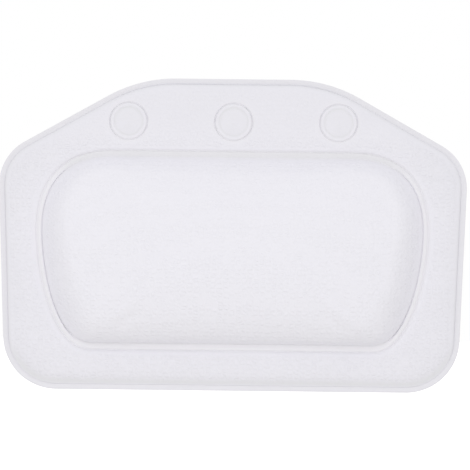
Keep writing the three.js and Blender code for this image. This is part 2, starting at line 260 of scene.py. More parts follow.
class BathPillowSettings(bpy.types.PropertyGroup):
    """Every size and colour of the pillow and its stage."""

    outline: bpy.props.PointerProperty(type=PillowOutline, name="Outline")
    pad: bpy.props.PointerProperty(type=PillowPad, name="Pad")
    sheets: bpy.props.PointerProperty(type=PillowSheets, name="Sheets")
    cups: bpy.props.PointerProperty(type=PillowCups, name="Cups")
    finish: bpy.props.PointerProperty(type=PillowFinish, name="Finish")
    stage: bpy.props.PointerProperty(type=PillowStage, name="Stage")


# Flat drawing in the pillow's plane: arrays of (across, up) points


def rolled(share):
    """A quarter round: steep where it starts and level at its end."""
    return np.sqrt(np.maximum(0, 1 - (1 - np.clip(share, 0, 1)) ** 2))


def shouldered(share):
    """A steady slope that rounds off at its end."""
    held = np.clip(share, 0, 1)
    return (3 * held - held ** 3) / 2


def domed(share):
    """A low dome: a steady climb that levels out at its end."""
    return np.sin(math.pi / 2 * np.clip(share, 0, 1))


def eased(share):
    """A soft step from 0 to 1."""
    held = np.clip(share, 0, 1)
    return held * held * (3 - 2 * held)


def hump(share):
    """A soft hump that is 1 in its middle."""
    return np.exp(-np.square(share))


def arc(centre, radius, start, end, steps):
    """Points along part of a circle."""
    angles = np.linspace(start, end, steps)
    return np.array(centre) + radius * np.stack([np.cos(angles), np.sin(angles)], axis=1)


def bezier(controls, steps):
    """Points along a curve through its first and last control, pulled towards the others."""
    share = np.linspace(0, 1, steps)[:, None]
    points = [np.array(control, float) for control in controls]
    while len(points) > 1:
        points = [(1 - share) * one + share * other for one, other in zip(points, points[1:])]
    return points[0]


def spaced(points, count):
    """Evenly spaced points along a closed line."""
    closed = np.vstack([points, points[:1]])
    along = np.concatenate([[0], np.cumsum(np.hypot(*np.diff(closed, axis=0).T))])
    wanted = np.linspace(0, along[-1], count, endpoint=False)
    return np.stack([np.interp(wanted, along, closed[:, k]) for k in (0, 1)], axis=1)


def outward(points):
    """Unit normals of a closed line that runs anticlockwise."""
    along = np.roll(points, -1, axis=0) - np.roll(points, 1, axis=0)
    along /= np.hypot(*along.T)[:, None]
    return np.stack([along[:, 1], -along[:, 0]], axis=1)


def softened(loop, spread):
    """A closed line with its corners rounded off over a spread of its points."""
    waves = np.fft.fftfreq(len(loop))
    kept = np.exp(-2 * (math.pi * waves * spread) ** 2)
    return np.fft.ifft(np.fft.fft(loop, axis=0) * kept[:, None], axis=0).real


def gap_to(points, loop):
    """How far each point is from a closed line."""
    best = np.full(len(points), np.inf)
    for start, end in zip(loop, np.roll(loop, -1, axis=0)):
        along = end - start
        share = np.clip((points - start) @ along / (along @ along), 0, 1)
        best = np.minimum(best, np.hypot(*(points - start - share[:, None] * along).T))
    return best


def is_inside(points, loop):
    """Which points lie inside a closed line."""
    inside = np.zeros(len(points), bool)
    for (x0, z0), (x1, z1) in zip(loop, np.roll(loop, -1, axis=0)):
        crosses = (z0 > points[:, 1]) != (z1 > points[:, 1])
        if crosses.any():
            inside ^= crosses & (points[:, 0] < x0 + (points[:, 1] - z0) * (x1 - x0) / (z1 - z0))
    return inside


def within(points, loops):
    """The points inside the first closed line and outside the others."""
    kept = is_inside(points, loops[0])
    for loop in loops[1:]:
        kept &= ~is_inside(points, loop)
    return points[kept]


def clear_of(points, loops, gap):
    """The points that keep a gap from every closed line."""
    for loop in loops:
        points = points[gap_to(points, loop) > gap]
    return points


def honeycomb(loop, spacing):
    """Staggered rows of points over the box round a closed line."""
    low, high = loop.min(0), loop.max(0)
    rows = np.arange(low[1], high[1], spacing * math.sqrt(0.75))
    columns = np.arange(low[0], high[0], spacing)
    return np.array([(x + spacing / 2 * (i % 2), z) for i, z in enumerate(rows) for x in columns])


class Pattern:
    """The pillow's cut, with the depths that follow from its sizes."""

    def __init__(self, settings):
        self.pad, self.sheets, self.cups = settings.pad, settings.sheets, settings.cups
        self.middle = -(self.cups.height + self.sheets.clearance + self.sheets.thickness
                        + self.sheets.film / 2)
        self.front = self.middle - self.sheets.film / 2
        self.back = self.middle + self.sheets.film / 2
        self.pad_half = settings.outline.shoulder_half - self.pad.side_border
        self.pad_bottom = settings.outline.bottom_drop - self.pad.bottom_border
        self.pad_centre = -(self.pad.top_drop + self.pad_bottom) / 2
        self.spine_share = 1 - (self.pad_bottom - self.pad.top_drop) / 2 / self.pad_half
        self.rim_line = spaced(self.rounded_outline(settings.outline), RIM_POINTS)
        self.pad_line = spaced(self.pad_outline(), PAD_POINTS)
        self.girth = np.hypot(*np.diff(self.pad_line, axis=0).T).mean()
        self.cup_places = {side: self.cups.pitch * step for side, step in SIDES.items()}

    def rounded_outline(self, outline):
        """The six-sided outline, anticlockwise from its top right."""
        half = [
            (outline.top_half, outline.top_rise, outline.top_radius),
            (outline.shoulder_half, -outline.shoulder_drop, outline.shoulder_radius),
            (outline.bottom_half, -outline.bottom_drop, outline.bottom_radius),
        ]
        corners = [(-x, z, radius) for x, z, radius in half] + half[::-1]
        points = []
        for i, (x, z, radius) in enumerate(corners):
            before, after = corners[i - 1], corners[(i + 1) % len(corners)]
            heading = math.atan2(z - before[1], x - before[0])
            following = math.atan2(after[1] - z, after[0] - x)
            turn = (following - heading) % (2 * math.pi)
            reach = radius * math.tan(turn / 2)
            centre = (
                x - reach * math.cos(heading) - radius * math.sin(heading),
                z - reach * math.sin(heading) + radius * math.cos(heading),
            )
            start = heading - math.pi / 2
            points.append(arc(centre, radius, start, start + turn, CORNER_POINTS))
        return spaced(np.vstack(points), FINE_POINTS)

    def pad_outline(self):
        """The inner edge of the pad's weld, anticlockwise from its upper left corner."""
        pad = self.pad
        top = np.array((self.pad_half - pad.top_corner, -pad.top_drop))
        wide = np.array((self.pad_half, -pad.wide_drop))
        bottom = np.array((self.pad_half - pad.bottom_corner, -self.pad_bottom))
        upper, lower = pad.wide_drop - pad.top_drop, self.pad_bottom - pad.wide_drop
        upper_right = bezier([
            wide, wide + (0, pad.top_down * upper), top + (pad.top_across * pad.top_corner, 0), top,
        ], CURVE_POINTS)
        lower_right = bezier([
            bottom, bottom + (pad.bottom_across * pad.bottom_corner, 0),
            wide - (0, pad.bottom_down * lower), wide,
        ], CURVE_POINTS)
        right = np.vstack([lower_right[:-1], upper_right])
        left = right[::-1] * (-1, 1)
        return spaced(np.vstack([left, right]), FINE_POINTS)

    def rim_loop(self, inset):
        """The pillow's outline moved in."""
        return self.rim_line - inset * outward(self.rim_line)

    def weld_loop(self, outset):
        """The inner edge of the pad's weld moved out."""
        return self.pad_line + outset * outward(self.pad_line)

    def pad_loop(self, inset):
        """The pad's edge moved in towards the line along its middle, with rounder corners further in."""
        spine = np.stack([self.pad_line[:, 0] * self.spine_share, np.full(PAD_POINTS, self.pad_centre)], 1)
        inward = spine - self.pad_line
        loop = self.pad_line + inset * inward / np.hypot(*inward.T)[:, None]
        return softened(loop, self.pad.softness * inset / self.girth)

    def height_share(self, up):
        """The pad's share of its full height, which is lower towards its top."""
        return 1 - self.pad.top_taper * ((up + self.pad_bottom) / (self.pad_bottom - self.pad.top_drop)) ** 2

    def front_swell(self, inset, up, fullness=0.0):
        """How far the pad has climbed in front, a distance in from its weld: sloped edge and low crown."""
        pad, share = self.pad, self.height_share(up)
        sloped = shouldered(inset / (share * pad.edge_reach))
        edge = sloped + fullness * (rolled(inset / pad.edge_reach) - sloped)
        return share * (pad.edge_rise * edge + pad.crown_rise * domed(inset / pad.reach))

    def back_swell(self, inset, up, fullness=0.0):
        """How far the pad has climbed behind, a distance in from its weld; the same at every height."""
        even = np.ones_like(up)
        return self.pad.back_rise * domed(inset / self.pad.back_reach) ** self.pad.back_fullness * even

    def chamber_start(self, swell, reach, wall):
        """Where a wall of one thickness leaves the sheets' flat face, at the pad's lowest place."""
        insets = np.linspace(0, reach, CURVE_POINTS)
        return float(np.interp(wall, self.sheets.pressed + swell(insets, -self.pad.top_drop), insets))

    def bend(self, piece):
        """Bakes a piece's placement into its mesh."""
        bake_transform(piece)


class Skin:
    """Points and faces of one piece, gathered strip by strip, with marks on its points for the material."""

    def __init__(self):
        self.places = np.zeros((0, 3))
        self.marks = {mark: np.zeros(0) for mark in MARKS}
        self.faces = []

    def points(self, flat, depth, **marks):
        """Adds points at flat places and depths, and gives their numbers."""
        first, count = len(self.places), len(flat)
        depths = np.broadcast_to(depth, count)
        self.places = np.vstack([self.places, np.stack([flat[:, 0], depths, flat[:, 1]], axis=1)])
        for mark, values in self.marks.items():
            self.marks[mark] = np.concatenate([values, np.broadcast_to(marks.get(mark, 0.0), count)])
        return np.arange(first, first + count)

    def flat(self, numbers):
        """The flat places of numbered points."""
        return self.places[numbers][..., (0, 2)]

    def strip(self, one, other):
        """Joins two closed loops of equally many points."""
        ahead, other_ahead = np.roll(one, -1), np.roll(other, -1)
        self.faces += [tuple(face) for face in np.stack([one, ahead, other_ahead, other], 1).tolist()]

    def strips(self, loops):
        """Joins closed loops one after the other."""
        for one, other in zip(loops, loops[1:]):
            self.strip(one, other)

    def close(self, loop, flat, depth, **marks):
        """Closes a small loop with one point in its middle."""
        centre = int(self.points(np.array([flat]), depth, **marks)[0])
        self.faces += [(int(a), int(b), centre) for a, b in zip(loop, np.roll(loop, -1))]

    def fill(self, loops, loose=()):
        """Fills the inside of the first closed loop, outside the others, through loose points."""
        numbers = np.concatenate([*loops, loose]).astype(int)
        edges, first = [], 0
        for loop in loops:
            edges += [(first + k, first + (k + 1) % len(loop)) for k in range(len(loop))]
            first += len(loop)
        flat = self.flat(numbers)
        around = flat.mean(axis=0) + np.ptp(flat, axis=0) * FAR_CORNERS
        places = [Vector(place) for place in np.vstack([flat, around])]
        _, _, faces, origins, _, _ = delaunay_2d_cdt(places, edges, [], 0, TINY, True)
        corners = np.array([[origins[point][0] for point in face] for face in faces])
        corners = numbers[corners[(corners < len(numbers)).all(axis=1)]]
        middles = self.flat(corners).mean(axis=1)
        kept = is_inside(middles, self.flat(loops[0]))
        for loop in loops[1:]:
            kept &= ~is_inside(middles, self.flat(loop))
        self.faces += [tuple(face) for face in corners[kept].tolist()]

    def piece(self, name, material):
        """Makes the piece's object, smooth and with its faces outward."""
        mesh = bpy.data.meshes.new(name)
        mesh.from_pydata(self.places.tolist(), [], self.faces)
        shell = bmesh.new()
        shell.from_mesh(mesh)
        bmesh.ops.recalc_face_normals(shell, faces=shell.faces)
        shell.to_mesh(mesh)
        shell.free()
        for mark, values in self.marks.items():
            attribute = mesh.attributes.new(mark, "FLOAT", "POINT")
            attribute.data.foreach_set("value", values.astype(np.float32))
        return placed(name, mesh, material)


def added(name, data):
    """A new object in the scene."""
    made = bpy.data.objects.new(name, data)
    bpy.context.scene.collection.objects.link(made)
    return made


def placed(name, mesh, material):
    """Puts a finished mesh into the scene as a smooth piece."""
    lay = mesh.attributes.new("lay", "FLOAT_VECTOR", "POINT")
    places = np.zeros(3 * len(mesh.vertices), np.float32)
    mesh.vertices.foreach_get("co", places)
    lay.data.foreach_set("vector", places)
    mesh.materials.clear()
    mesh.materials.append(material)
    mesh.shade_smooth()
    return added(name, mesh)


def circle(across, radius, count=RING_POINTS):
    """A circle of points in the row of cups."""
    return arc((across, 0), radius, 0, 2 * math.pi * (1 - 1 / count), count)


def crowding(width, steps):
    """Distances from a crease, closer together beside it, without the crease itself."""
    return width * (np.arange(1, steps + 1) / steps) ** 2


# Covers


class Cover:
    """One sheet of the pillow: rolled border, weld band, formed pad and the places of the cups."""

    # Strips of faces beside the creases, rows of points that follow them, and the room those rows keep
    strip_width = 0.0034
    ring_margin = 0.0012
    rim_guides = (0.0047, 0.0061, 0.0077, 0.0095, 0.0115)
    weld_guides = (0.0048, 0.0064, 0.0082)
    guide_room = 0.6

    # How far an edge of the pad has to face up or down to count as its top or bottom, and its roundness there
    run_start = 0.55
    run_fade = 0.4
    full_start = 0.1
    bottom_fullness = 0.9

    # The lower border and the slanted edges, measured from the middle cup, where the roll is softer
    low_start = 0.15
    low_fade = 0.025
    slant_roll = 0.85
    slant_across = 0.07
    slant_drop = 0.05
    slant_fade = 0.02

    # The line along the weld band's outer edge, and the step from the band's lip into the pad's crease
    line_width = 0.0007
    side_line = 0.75
    side_shift = 0.0006
    lip_reach = 0.006
    lip_wall = 0.0005
    lip_step = 0.00035
    lip_lag = 0.0014
    low_shift = 0.0009

    # How strongly the emboss shows, and the widths over which the welds press it away
    flap_grain = 0.42
    flap_fade = 0.015
    ring_grain = 0.2
    crown_grain = 0.7
    grain_fade = 0.004
    grain_lead = 0.0008
    fused_reach = 0.002

    # Painted light: a lighter tone on the border towards the pad, reaching further below and weaker above
    light_tone = 0.75
    light_reach = 0.03
    low_light_spread = 0.5
    low_light_start = 0.125
    shoulder_tone = 0.4
    shoulder_drop = 0.07
    shoulder_fade = 0.04

    # Painted shade: a darker tone along the rim's crease, wider over the lower border, and along the pad's
    # upper crease
    rim_tone = 0.6
    rim_shade_reach = 0.0025
    low_tone = 1.0
    low_shade_reach = 0.0075
    low_lead = 0.002
    low_edge = 0.4
    top_tone = 0.6
    top_fade = 0.004

    # Tone of the weld band: painted light along its sides and bottom, painted shade along its top
    band_tone = 0.5
    band_top_tone = -0.4
    band_low_tone = 1.0
    # Tone of the ring welds: a darker disc, with painted shade along its inner line and the bead's lower half
    disc_tone = -0.2
    disc_line_tone = -0.6

    def __init__(self, pattern, face, sign, swell, reach):
        self.pattern, self.face, self.sign = pattern, face, sign
        self.swell, self.reach = swell, reach
        self.sheets, self.pad, self.cups = pattern.sheets, pattern.pad, pattern.cups
        self.crease_inset = self.sheets.rim_width
        self.crease_line = pattern.rim_loop(self.crease_inset)
        self.band_line = pattern.weld_loop(self.sheets.weld_width)
        facing = outward(pattern.pad_line)[:, 1]
        along_top = eased((facing - self.run_start) / self.run_fade)
        along_bottom = eased((-facing - self.run_start) / self.run_fade)
        self.along_top, self.along_bottom = along_top, along_bottom
        self.creased = 1 - along_top - along_bottom
        self.lip = self.sheets.weld_inner * self.creased
        self.lip += self.sheets.weld_top * along_top + self.sheets.weld_low * along_bottom
        self.inner_crease = self.lip - self.sheets.weld_crease * self.creased
        # The band's painted light along its sides and bottom and painted shade along its top
        self.band_light_and_shade = self.band_tone * self.creased
        self.band_light_and_shade += self.band_top_tone * along_top + self.band_low_tone * along_bottom
        upright = 1 - facing ** 2
        self.outer_line = self.sheets.weld_line * (1 + (self.side_line - 1) * upright)
        self.line_shift = self.side_shift * upright
        self.fullness = self.bottom_fullness * eased((-facing - self.full_start) / (1 - self.full_start))
        self.skin = Skin()

    def depth(self, height):
        """Where a height over the sheets' meeting face lies, front to back."""
        return self.face + self.sign * height

    def crown(self, inset, up):
        """Height of the formed pad, a distance in from its weld."""
        left = 1 - eased(inset / self.lip_reach)
        start = self.sheets.pressed + (self.inner_crease - self.sheets.pressed) * left
        wall = self.creased * self.lip_wall * (1 - math.exp(-inset / self.lip_step))
        lag = self.creased * self.lip_lag * (1 - math.exp(-inset / self.lip_lag))
        lag += self.along_bottom * self.low_shift
        return start + wall * left + self.swell(inset - lag, up, self.fullness)

    def crest(self, up):
        """Height of the formed pad along its middle."""
        return self.sheets.pressed + self.swell(self.reach, up)

    def lower(self, flat):
        """How far a place belongs to the lower border, which slopes more."""
        return eased((-flat[:, 1] - self.low_start) / self.low_fade)

    def slanted(self, flat):
        """How far a place belongs to one of the slanted edges, where the roll is softer."""
        beside = eased((abs(flat[:, 0]) - self.slant_across) / self.slant_fade)
        return beside * eased((flat[:, 1] + self.slant_drop) / self.slant_fade)

    def border(self, flat, rim_gap, weld_gap):
        """Height of the puffed border between the rim's crease and the weld band."""
        low = self.sheets.weld_outer / self.sheets.thickness
        gentle = np.maximum(self.lower(flat), self.slant_roll * self.slanted(flat))
        sloped = domed(rim_gap / self.sheets.low_roll)
        from_rim = rolled(rim_gap / self.sheets.rim_roll) * (1 - gentle) + sloped * gentle
        from_weld = low + (1 - low) * domed(weld_gap / self.sheets.weld_roll)
        share = rim_gap / (rim_gap + weld_gap)
        puff = self.sheets.crown * 4 * share * (1 - share)
        start = self.sheets.crease
        return start + (self.sheets.thickness - start) * from_rim * from_weld + puff

    def ring_gap(self, flat):
        """How far each place is outside the nearest ring weld."""
        centres = np.array([(across, 0.0) for across in self.pattern.cup_places.values()])
        return np.linalg.norm(flat[:, None] - centres, axis=2).min(axis=1) - self.cups.ring_outer

    def unpressed(self, gap):
        """How much of the emboss is left, a gap away from a weld."""
        return eased((gap - self.grain_lead) / self.grain_fade)

    def grain(self, flat, rim_gap, weld_gap):
        """How strongly the emboss shows: pressed away at the welds and weaker on the flap."""
        welds = self.unpressed(weld_gap) * self.unpressed(rim_gap) * self.unpressed(self.ring_gap(flat))
        flap = 1 - (1 - self.flap_grain) * eased((flat[:, 1] - FOLD_HEIGHT) / self.flap_fade)
        return welds * flap

    def crown_emboss(self, up):
        """How strongly the emboss shows on the pad, which is drawn flatter towards its top."""
        down = (-up - self.pad.top_drop) / (self.pattern.pad_bottom - self.pad.top_drop)
        return self.crown_grain + (1 - self.crown_grain) * eased(down)

    def tone(self, flat, rim_gap, weld_gap):
        """Above 0: painted light towards the pad; below 0: painted shade at the rim's crease and lower
        border.
        """
        lower = self.lower(flat)
        above = eased((flat[:, 1] + self.shoulder_drop) / self.shoulder_fade)
        below = eased((-flat[:, 1] - self.low_light_start) / self.low_fade)
        reach = self.light_reach * (1 + self.low_light_spread * below)
        # Painted light towards the pad, reaching further over the lower border and weaker above the shoulders
        drawn = self.light_tone * (1 - eased(weld_gap / reach)) * (1 - self.shoulder_tone * above)
        # Painted shade along the rim's crease, wider over the lower border but lighter right at its edge
        heated = self.rim_tone * (1 - eased(rim_gap / self.rim_shade_reach)) * (1 - lower)
        edge = self.low_edge + (1 - self.low_edge) * eased(rim_gap / self.low_lead)
        heated += self.low_tone * edge * (1 - eased(rim_gap / self.low_shade_reach)) * lower
        return drawn * (1 - heated) - heated

    def border_points(self, flat, extra=0.0, grain=0.0, shift=0.0):
        """Adds points of the border with their marks, and what a weld there adds to them."""
        rim_gap, weld_gap = gap_to(flat, self.crease_line), gap_to(flat, self.band_line)
        depth = self.depth(self.border(flat, rim_gap, weld_gap) + extra)
        emboss = self.grain(flat, rim_gap, weld_gap) + grain
        tone = self.tone(flat, rim_gap, weld_gap) + shift
        fused = 1 - eased(np.minimum(weld_gap, abs(self.ring_gap(flat))) / self.fused_reach)
        return self.skin.points(flat, depth, emboss=emboss, tone=tone, fused=fused)

    def outer_strips(self):
        """From inside the rim, over the roll, to the start of the open border."""
        tucked = self.pattern.rim_loop(self.crease_inset - self.sheets.clearance)
        loops = [self.skin.points(tucked, self.face)]
        for inset in [0, *crowding(self.strip_width, ROLL_STRIPS)]:
            loops.append(self.border_points(self.pattern.rim_loop(self.crease_inset + inset)))
        self.skin.strips(loops)
        return loops[0], loops[-1]

    def line_height(self, gap):
        """The pressed line along the band's outer edge, deeper and further out where it runs across."""
        return -self.outer_line * hump((gap - self.line_shift) / self.line_width)

    def band_height(self, outset):
        """A band that climbs towards the pad and drops from its lip into the inner crease."""
        sheets = self.sheets
        top = self.lip + (sheets.weld_outer - self.lip) * outset / sheets.weld_width
        lip = self.inner_crease + (top - self.inner_crease) * rolled(outset / sheets.weld_lip)
        return lip + self.line_height(sheets.weld_width - outset)

    def weld_strips(self):
        """From the open border, over the weld band, to the pad's inner crease."""
        loops = []
        for outset in [*crowding(self.strip_width, WELD_STRIPS)[::-1], 0]:
            loop = self.pattern.weld_loop(self.sheets.weld_width + outset)
            loops.append(self.border_points(loop, self.line_height(-outset)))
        for step in np.linspace(0, math.pi, BAND_STRIPS + 1)[1:]:
            outset = self.sheets.weld_width * (1 + math.cos(step)) / 2
            loop = self.pattern.weld_loop(outset)
            depth = self.depth(self.band_height(outset))
            # The band carries its painted light and shade as its tone
            loops.append(self.skin.points(loop, depth, tone=self.band_light_and_shade, fused=1.0))
        self.skin.strips(loops)
        return loops[0], loops[-1]

    def dome(self, edge, steps):
        """The formed pad, from its crease to its crown."""
        loops, first = [edge], len(self.skin.places)
        for inset in crowding(self.reach, steps):
            flat = self.pattern.pad_loop(inset)
            depth = self.depth(self.crown(inset, flat[:, 1]))
            emboss = self.crown_emboss(flat[:, 1]) * self.unpressed(inset)
            fused = 1 - eased(inset / self.fused_reach)
            # The pad's tone climbs from the border's painted light at its edge to the lighter crown
            tone = self.light_tone + (1 - self.light_tone) * eased(inset / self.pad.edge_reach)
            # Painted shade along the pad's upper crease
            tone -= self.top_tone * self.along_top * (1 - eased(inset / self.top_fade))
            loops.append(self.skin.points(flat, depth, emboss=emboss, tone=tone, fused=fused))
        self.skin.strips(loops)
        self.cap(loops[-1], 0.0, CROWN_SPACING, tone=1.0)
        return np.arange(first, len(self.skin.places))

    def draft(self):
        """A coarse copy of the formed pad for the cloth: its skin and the loop that the weld holds."""
        draft = type(self)(self.pattern, self.face, self.sign, self.swell, self.reach)
        step = max(1, round(CLOTH_SPACING / self.pattern.girth))
        loops = []
        for inset in np.linspace(0, self.reach, round(self.reach / CLOTH_SPACING) + 1):
            flat = self.pattern.pad_loop(inset)
            depth = self.depth(self.crown(inset, flat[:, 1]))
            loops.append(draft.skin.points(flat[::step], depth[::step]))
        draft.skin.strips(loops)
        draft.cap(loops[-1], 0.0, CLOTH_SPACING)
        return draft.skin, loops[0]

    def cap(self, loop, wall, spacing, tone=0.0):
        """Fills a loop with evenly spread points, a wall's thickness under the pad's crest."""
        line = self.skin.flat(loop)
        flat = clear_of(within(honeycomb(line, spacing), [line]), [line], spacing / 2)
        depth = self.depth(self.crest(flat[:, 1]) - wall)
        emboss = self.crown_emboss(flat[:, 1])
        self.skin.fill([loop], self.skin.points(flat, depth, emboss=emboss, tone=tone))

    def open_border(self, outer, inner, rings):
        """Fills the border between its strips and round the cups' places."""
        lines = [self.skin.flat(loop) for loop in (outer, inner, *rings)]
        guides = [self.pattern.rim_loop(self.crease_inset + gap) for gap in self.rim_guides]
        guides += [self.pattern.weld_loop(self.sheets.weld_width + gap) for gap in self.weld_guides]
        rows = clear_of(np.vstack(guides), lines[2:], BORDER_SPACING / 2)
        flat = within(honeycomb(lines[0], BORDER_SPACING), lines)
        flat = clear_of(flat, [*lines, *guides], self.guide_room * BORDER_SPACING)
        flat = flat[gap_to(flat, self.crease_line) > self.rim_guides[-1]]
        flat = flat[gap_to(flat, self.band_line) > self.weld_guides[-1]]
        loose = np.vstack([within(rows, lines), flat])
        self.skin.fill([outer, inner, *rings], self.border_points(loose))

    def lining(self, edge, holes):
        """The flat inner face with the pad's chamber and the openings round the cups."""
        formed = self.sheets.formed
        start = self.pattern.chamber_start(self.swell, self.reach, formed)
        loops = [self.skin.points(self.pattern.pad_loop(start + formed), self.face)]
        for share in np.linspace(0, 1, CHAMBER_STRIPS + 1)[1:]:
            inset = start + (self.reach - start) * share ** 2
            flat = self.pattern.pad_loop(inset + formed)
            height = self.sheets.pressed + self.swell(inset, flat[:, 1]) - formed
            loops.append(self.skin.points(flat, self.depth(height)))
        self.skin.strips(loops)
        self.cap(loops[-1], formed, 2 * LINING_SPACING)
        lines = [self.skin.flat(loop) for loop in (edge, loops[0], *holes)]
        flat = clear_of(within(honeycomb(lines[0], LINING_SPACING), lines), lines, LINING_SPACING / 2)
        self.skin.fill([edge, loops[0], *holes], self.skin.points(flat, self.face))


class FrontCover(Cover):
    """The sheet that the head rests on."""

    # The ring welds' bead, groove and inner line: how they fade round the ring and how wide they are
    ring_hold = 0.6
    bead_slope = 0.6
    groove_below = 0.75
    groove_above = 0.25
    groove_width = 0.00045
    disc_line = 0.12
    disc_line_width = 0.0008

    # Where the strips of faces across a ring change their width, and how many there are
    bead_inset = 0.0008
    disc_inset = 0.0012
    disc_middle = 0.001
    groove_strips = 12
    bead_strips = 14
    disc_strips = 9

    # How far each point of a ring lies towards its bottom or its top
    turned = np.sin(np.arange(RING_POINTS) * 2 * math.pi / RING_POINTS)
    below, above = np.maximum(0, -turned) ** 2, np.maximum(0, turned) ** 2

    def ring_height(self, radius):
        """What the ring weld adds all round: a groove, a bead, a soft line and a puffed disc."""
        cups = self.cups
        across = (radius - cups.ring_inner) / (cups.ring_outer - cups.ring_inner)
        bead = cups.ring_rise * (1 - abs(2 * across - 1) ** 3) if 0 < across < 1 else 0.0
        if across < 0.5:
            held = cups.ring_rise * (self.ring_hold + (1 - self.ring_hold) * self.below)
            bead = held + (cups.ring_rise - held) * eased(1 + (across - 0.5) / self.bead_slope)
        depth = cups.ring_groove * (1 - self.groove_below * self.below - self.groove_above * self.above)
        groove = -depth * hump((radius - cups.ring_outer) / self.groove_width)
        line = -self.disc_line * cups.ring_rise * hump((radius - cups.ring_inner) / self.disc_line_width)
        puff = cups.disc_rise * (1 - min(1, radius / cups.ring_inner) ** 2)
        return bead + groove + line + puff

    def ring(self, across):
        """One ring weld, from the open flap to the disc's middle; gives its outer loop."""
        cups = self.cups
        outer = cups.ring_outer + self.ring_margin
        bead, disc = cups.ring_outer - self.bead_inset, cups.ring_inner - self.disc_inset
        radii = np.concatenate([
            np.linspace(outer, bead, self.groove_strips),
            np.linspace(bead, disc, self.bead_strips)[1:],
            np.linspace(disc, self.disc_middle, self.disc_strips)[1:],
        ])
        loops = []
        for radius in radii:
            grain = self.ring_grain * self.unpressed(cups.ring_inner - radius)
            # A darker disc, with painted shade along its inner line and over the bead's lower half
            shift = self.disc_tone * (1 - eased((radius - cups.ring_inner) / self.ring_margin))
            shift += self.disc_line_tone * hump((radius - cups.ring_inner) / self.disc_line_width)
            shift += self.disc_tone * self.below * (1 - eased((radius - cups.ring_outer) / self.ring_margin))
            loops.append(self.border_points(circle(across, radius), self.ring_height(radius), grain, shift))
        self.skin.strips(loops)
        top, tone = self.skin.places[loops[-1]][:, 1].mean(), self.skin.marks["tone"][-1]
        self.skin.close(loops[-1], (across, 0), top, emboss=self.ring_grain, tone=tone)
        return loops[0]

    def pocket(self, across):
        """The pocket that a cup's head turns in; gives its edge."""
        cups, sheets = self.cups, self.sheets
        radius = cups.ring_inner - sheets.clearance
        room = sheets.film + cups.eyelet + cups.head_thickness + 2 * sheets.clearance
        edge = self.skin.points(circle(across, radius, POCKET_POINTS), self.face)
        floor = self.skin.points(circle(across, radius, POCKET_POINTS), self.pattern.back - room)
        self.skin.strip(edge, floor)
        self.skin.close(floor, (across, 0), self.pattern.back - room)
        return edge

    def build(self, material):
        places = self.pattern.cup_places.values()
        tuck, outer = self.outer_strips()
        inner, edge = self.weld_strips()
        self.open_border(outer, inner, [self.ring(across) for across in places])
        crown = self.dome(edge, FRONT_STRIPS)
        before, after, faces = blown_up(*self.draft(), self.pad)
        gains = carried(self.skin.flat(crown), before, after, faces, self.pad.swell_most)
        self.skin.places[crown] += gains
        pockets = [self.pocket(across) for across in places]
        self.lining(tuck, pockets)
        return self.skin.piece("front_cover", material)


class BackCover(Cover):
    """The sheet that faces the wall."""

    # The ring welds' pressed mark, as a share of the sheet, and the land round a neck
    mark_depth = 0.4
    mark_squareness = 6
    mark_inset = 0.0008
    mark_strips = 14
    land_radius = 0.0085
    land_strips = 5

    def line_height(self, gap):
        """The back has no line along the band."""
        return 0.0

    def band_height(self, outset):
        """The back of the weld band is pressed flat."""
        return self.sheets.pressed

    def crown(self, inset, up):
        """The back of the pad has no lip or crease."""
        return self.sheets.pressed + self.swell(inset, up)

    def border(self, flat, rim_gap, weld_gap):
        """The back lies flatter than the front: no puff."""
        low = self.sheets.pressed / self.sheets.thickness
        from_rim = rolled(rim_gap / self.sheets.weld_roll)
        from_weld = low + (1 - low) * rolled(weld_gap / self.sheets.weld_roll)
        start = self.sheets.crease
        return start + (self.sheets.thickness - start) * from_rim * from_weld

    def neck_hole(self, across):
        """A hole for a cup's neck inside the ring weld's pressed mark; gives its outer and inner loop."""
        cups = self.cups
        hole = cups.neck_radius + 2 * self.sheets.clearance
        outer = cups.ring_outer + self.ring_margin
        middle, half = (cups.ring_inner + cups.ring_outer) / 2, (cups.ring_outer - cups.ring_inner) / 2
        loops = []
        marked = np.linspace(outer, cups.ring_inner - self.mark_inset, self.mark_strips)
        for radius in [*marked, *np.linspace(self.land_radius, hole, self.land_strips)]:
            pressed = math.exp(-(((radius - middle) / half) ** self.mark_squareness))
            mark = -self.mark_depth * self.sheets.thickness * pressed
            loops.append(self.border_points(circle(across, radius), mark))
        self.skin.strips(loops)
        inner = self.skin.points(circle(across, hole), self.face)
        self.skin.strip(loops[-1], inner)
        return loops[0], inner

    def build(self, material):
        tuck, outer = self.outer_strips()
        inner, edge = self.weld_strips()
        holes = [self.neck_hole(across) for across in self.pattern.cup_places.values()]
        self.open_border(outer, inner, [hole[0] for hole in holes])
        self.dome(edge, BACK_STRIPS)
        self.lining(tuck, [hole[1] for hole in holes])
        return self.skin.piece("back_cover", material)


# Cloth


def blown_up(skin, held, pad):
    """A sheet's points before and after it is blown up as cloth with some points held, and its faces."""
    mesh = bpy.data.meshes.new("blown_sheet")
    mesh.from_pydata(skin.places.tolist(), [], skin.faces)
    sheet = added("blown_sheet", mesh)
    sheet.vertex_groups.new(name="held").add(held.tolist(), 1.0, "REPLACE")
    cloth = sheet.modifiers.new("blown", "CLOTH")
    cloth.settings.vertex_group_mass = "held"
    cloth.settings.use_pressure = True
    cloth.settings.uniform_pressure_force = pad.pressure
    cloth.settings.effector_weights.gravity = 0
    cloth.settings.tension_stiffness = pad.stiffness
    cloth.settings.compression_stiffness = pad.stiffness
    smooth = sheet.modifiers.new("smooth", "SUBSURF")
    smooth.levels = smooth.render_levels = 2
    shapes = []
    for frames in (1, CLOTH_FRAMES):
        for moment in range(1, frames + 1):
            bpy.context.scene.frame_set(moment)
        shapes.append(evaluated_mesh(sheet, "blown_sheet"))
    bpy.context.scene.frame_set(1)
    bpy.data.objects.remove(sheet)
    before, after = (np.array([point.co for point in shape.vertices]) for shape in shapes)
    return before, after, [tuple(face.vertices) for face in shapes[0].polygons]


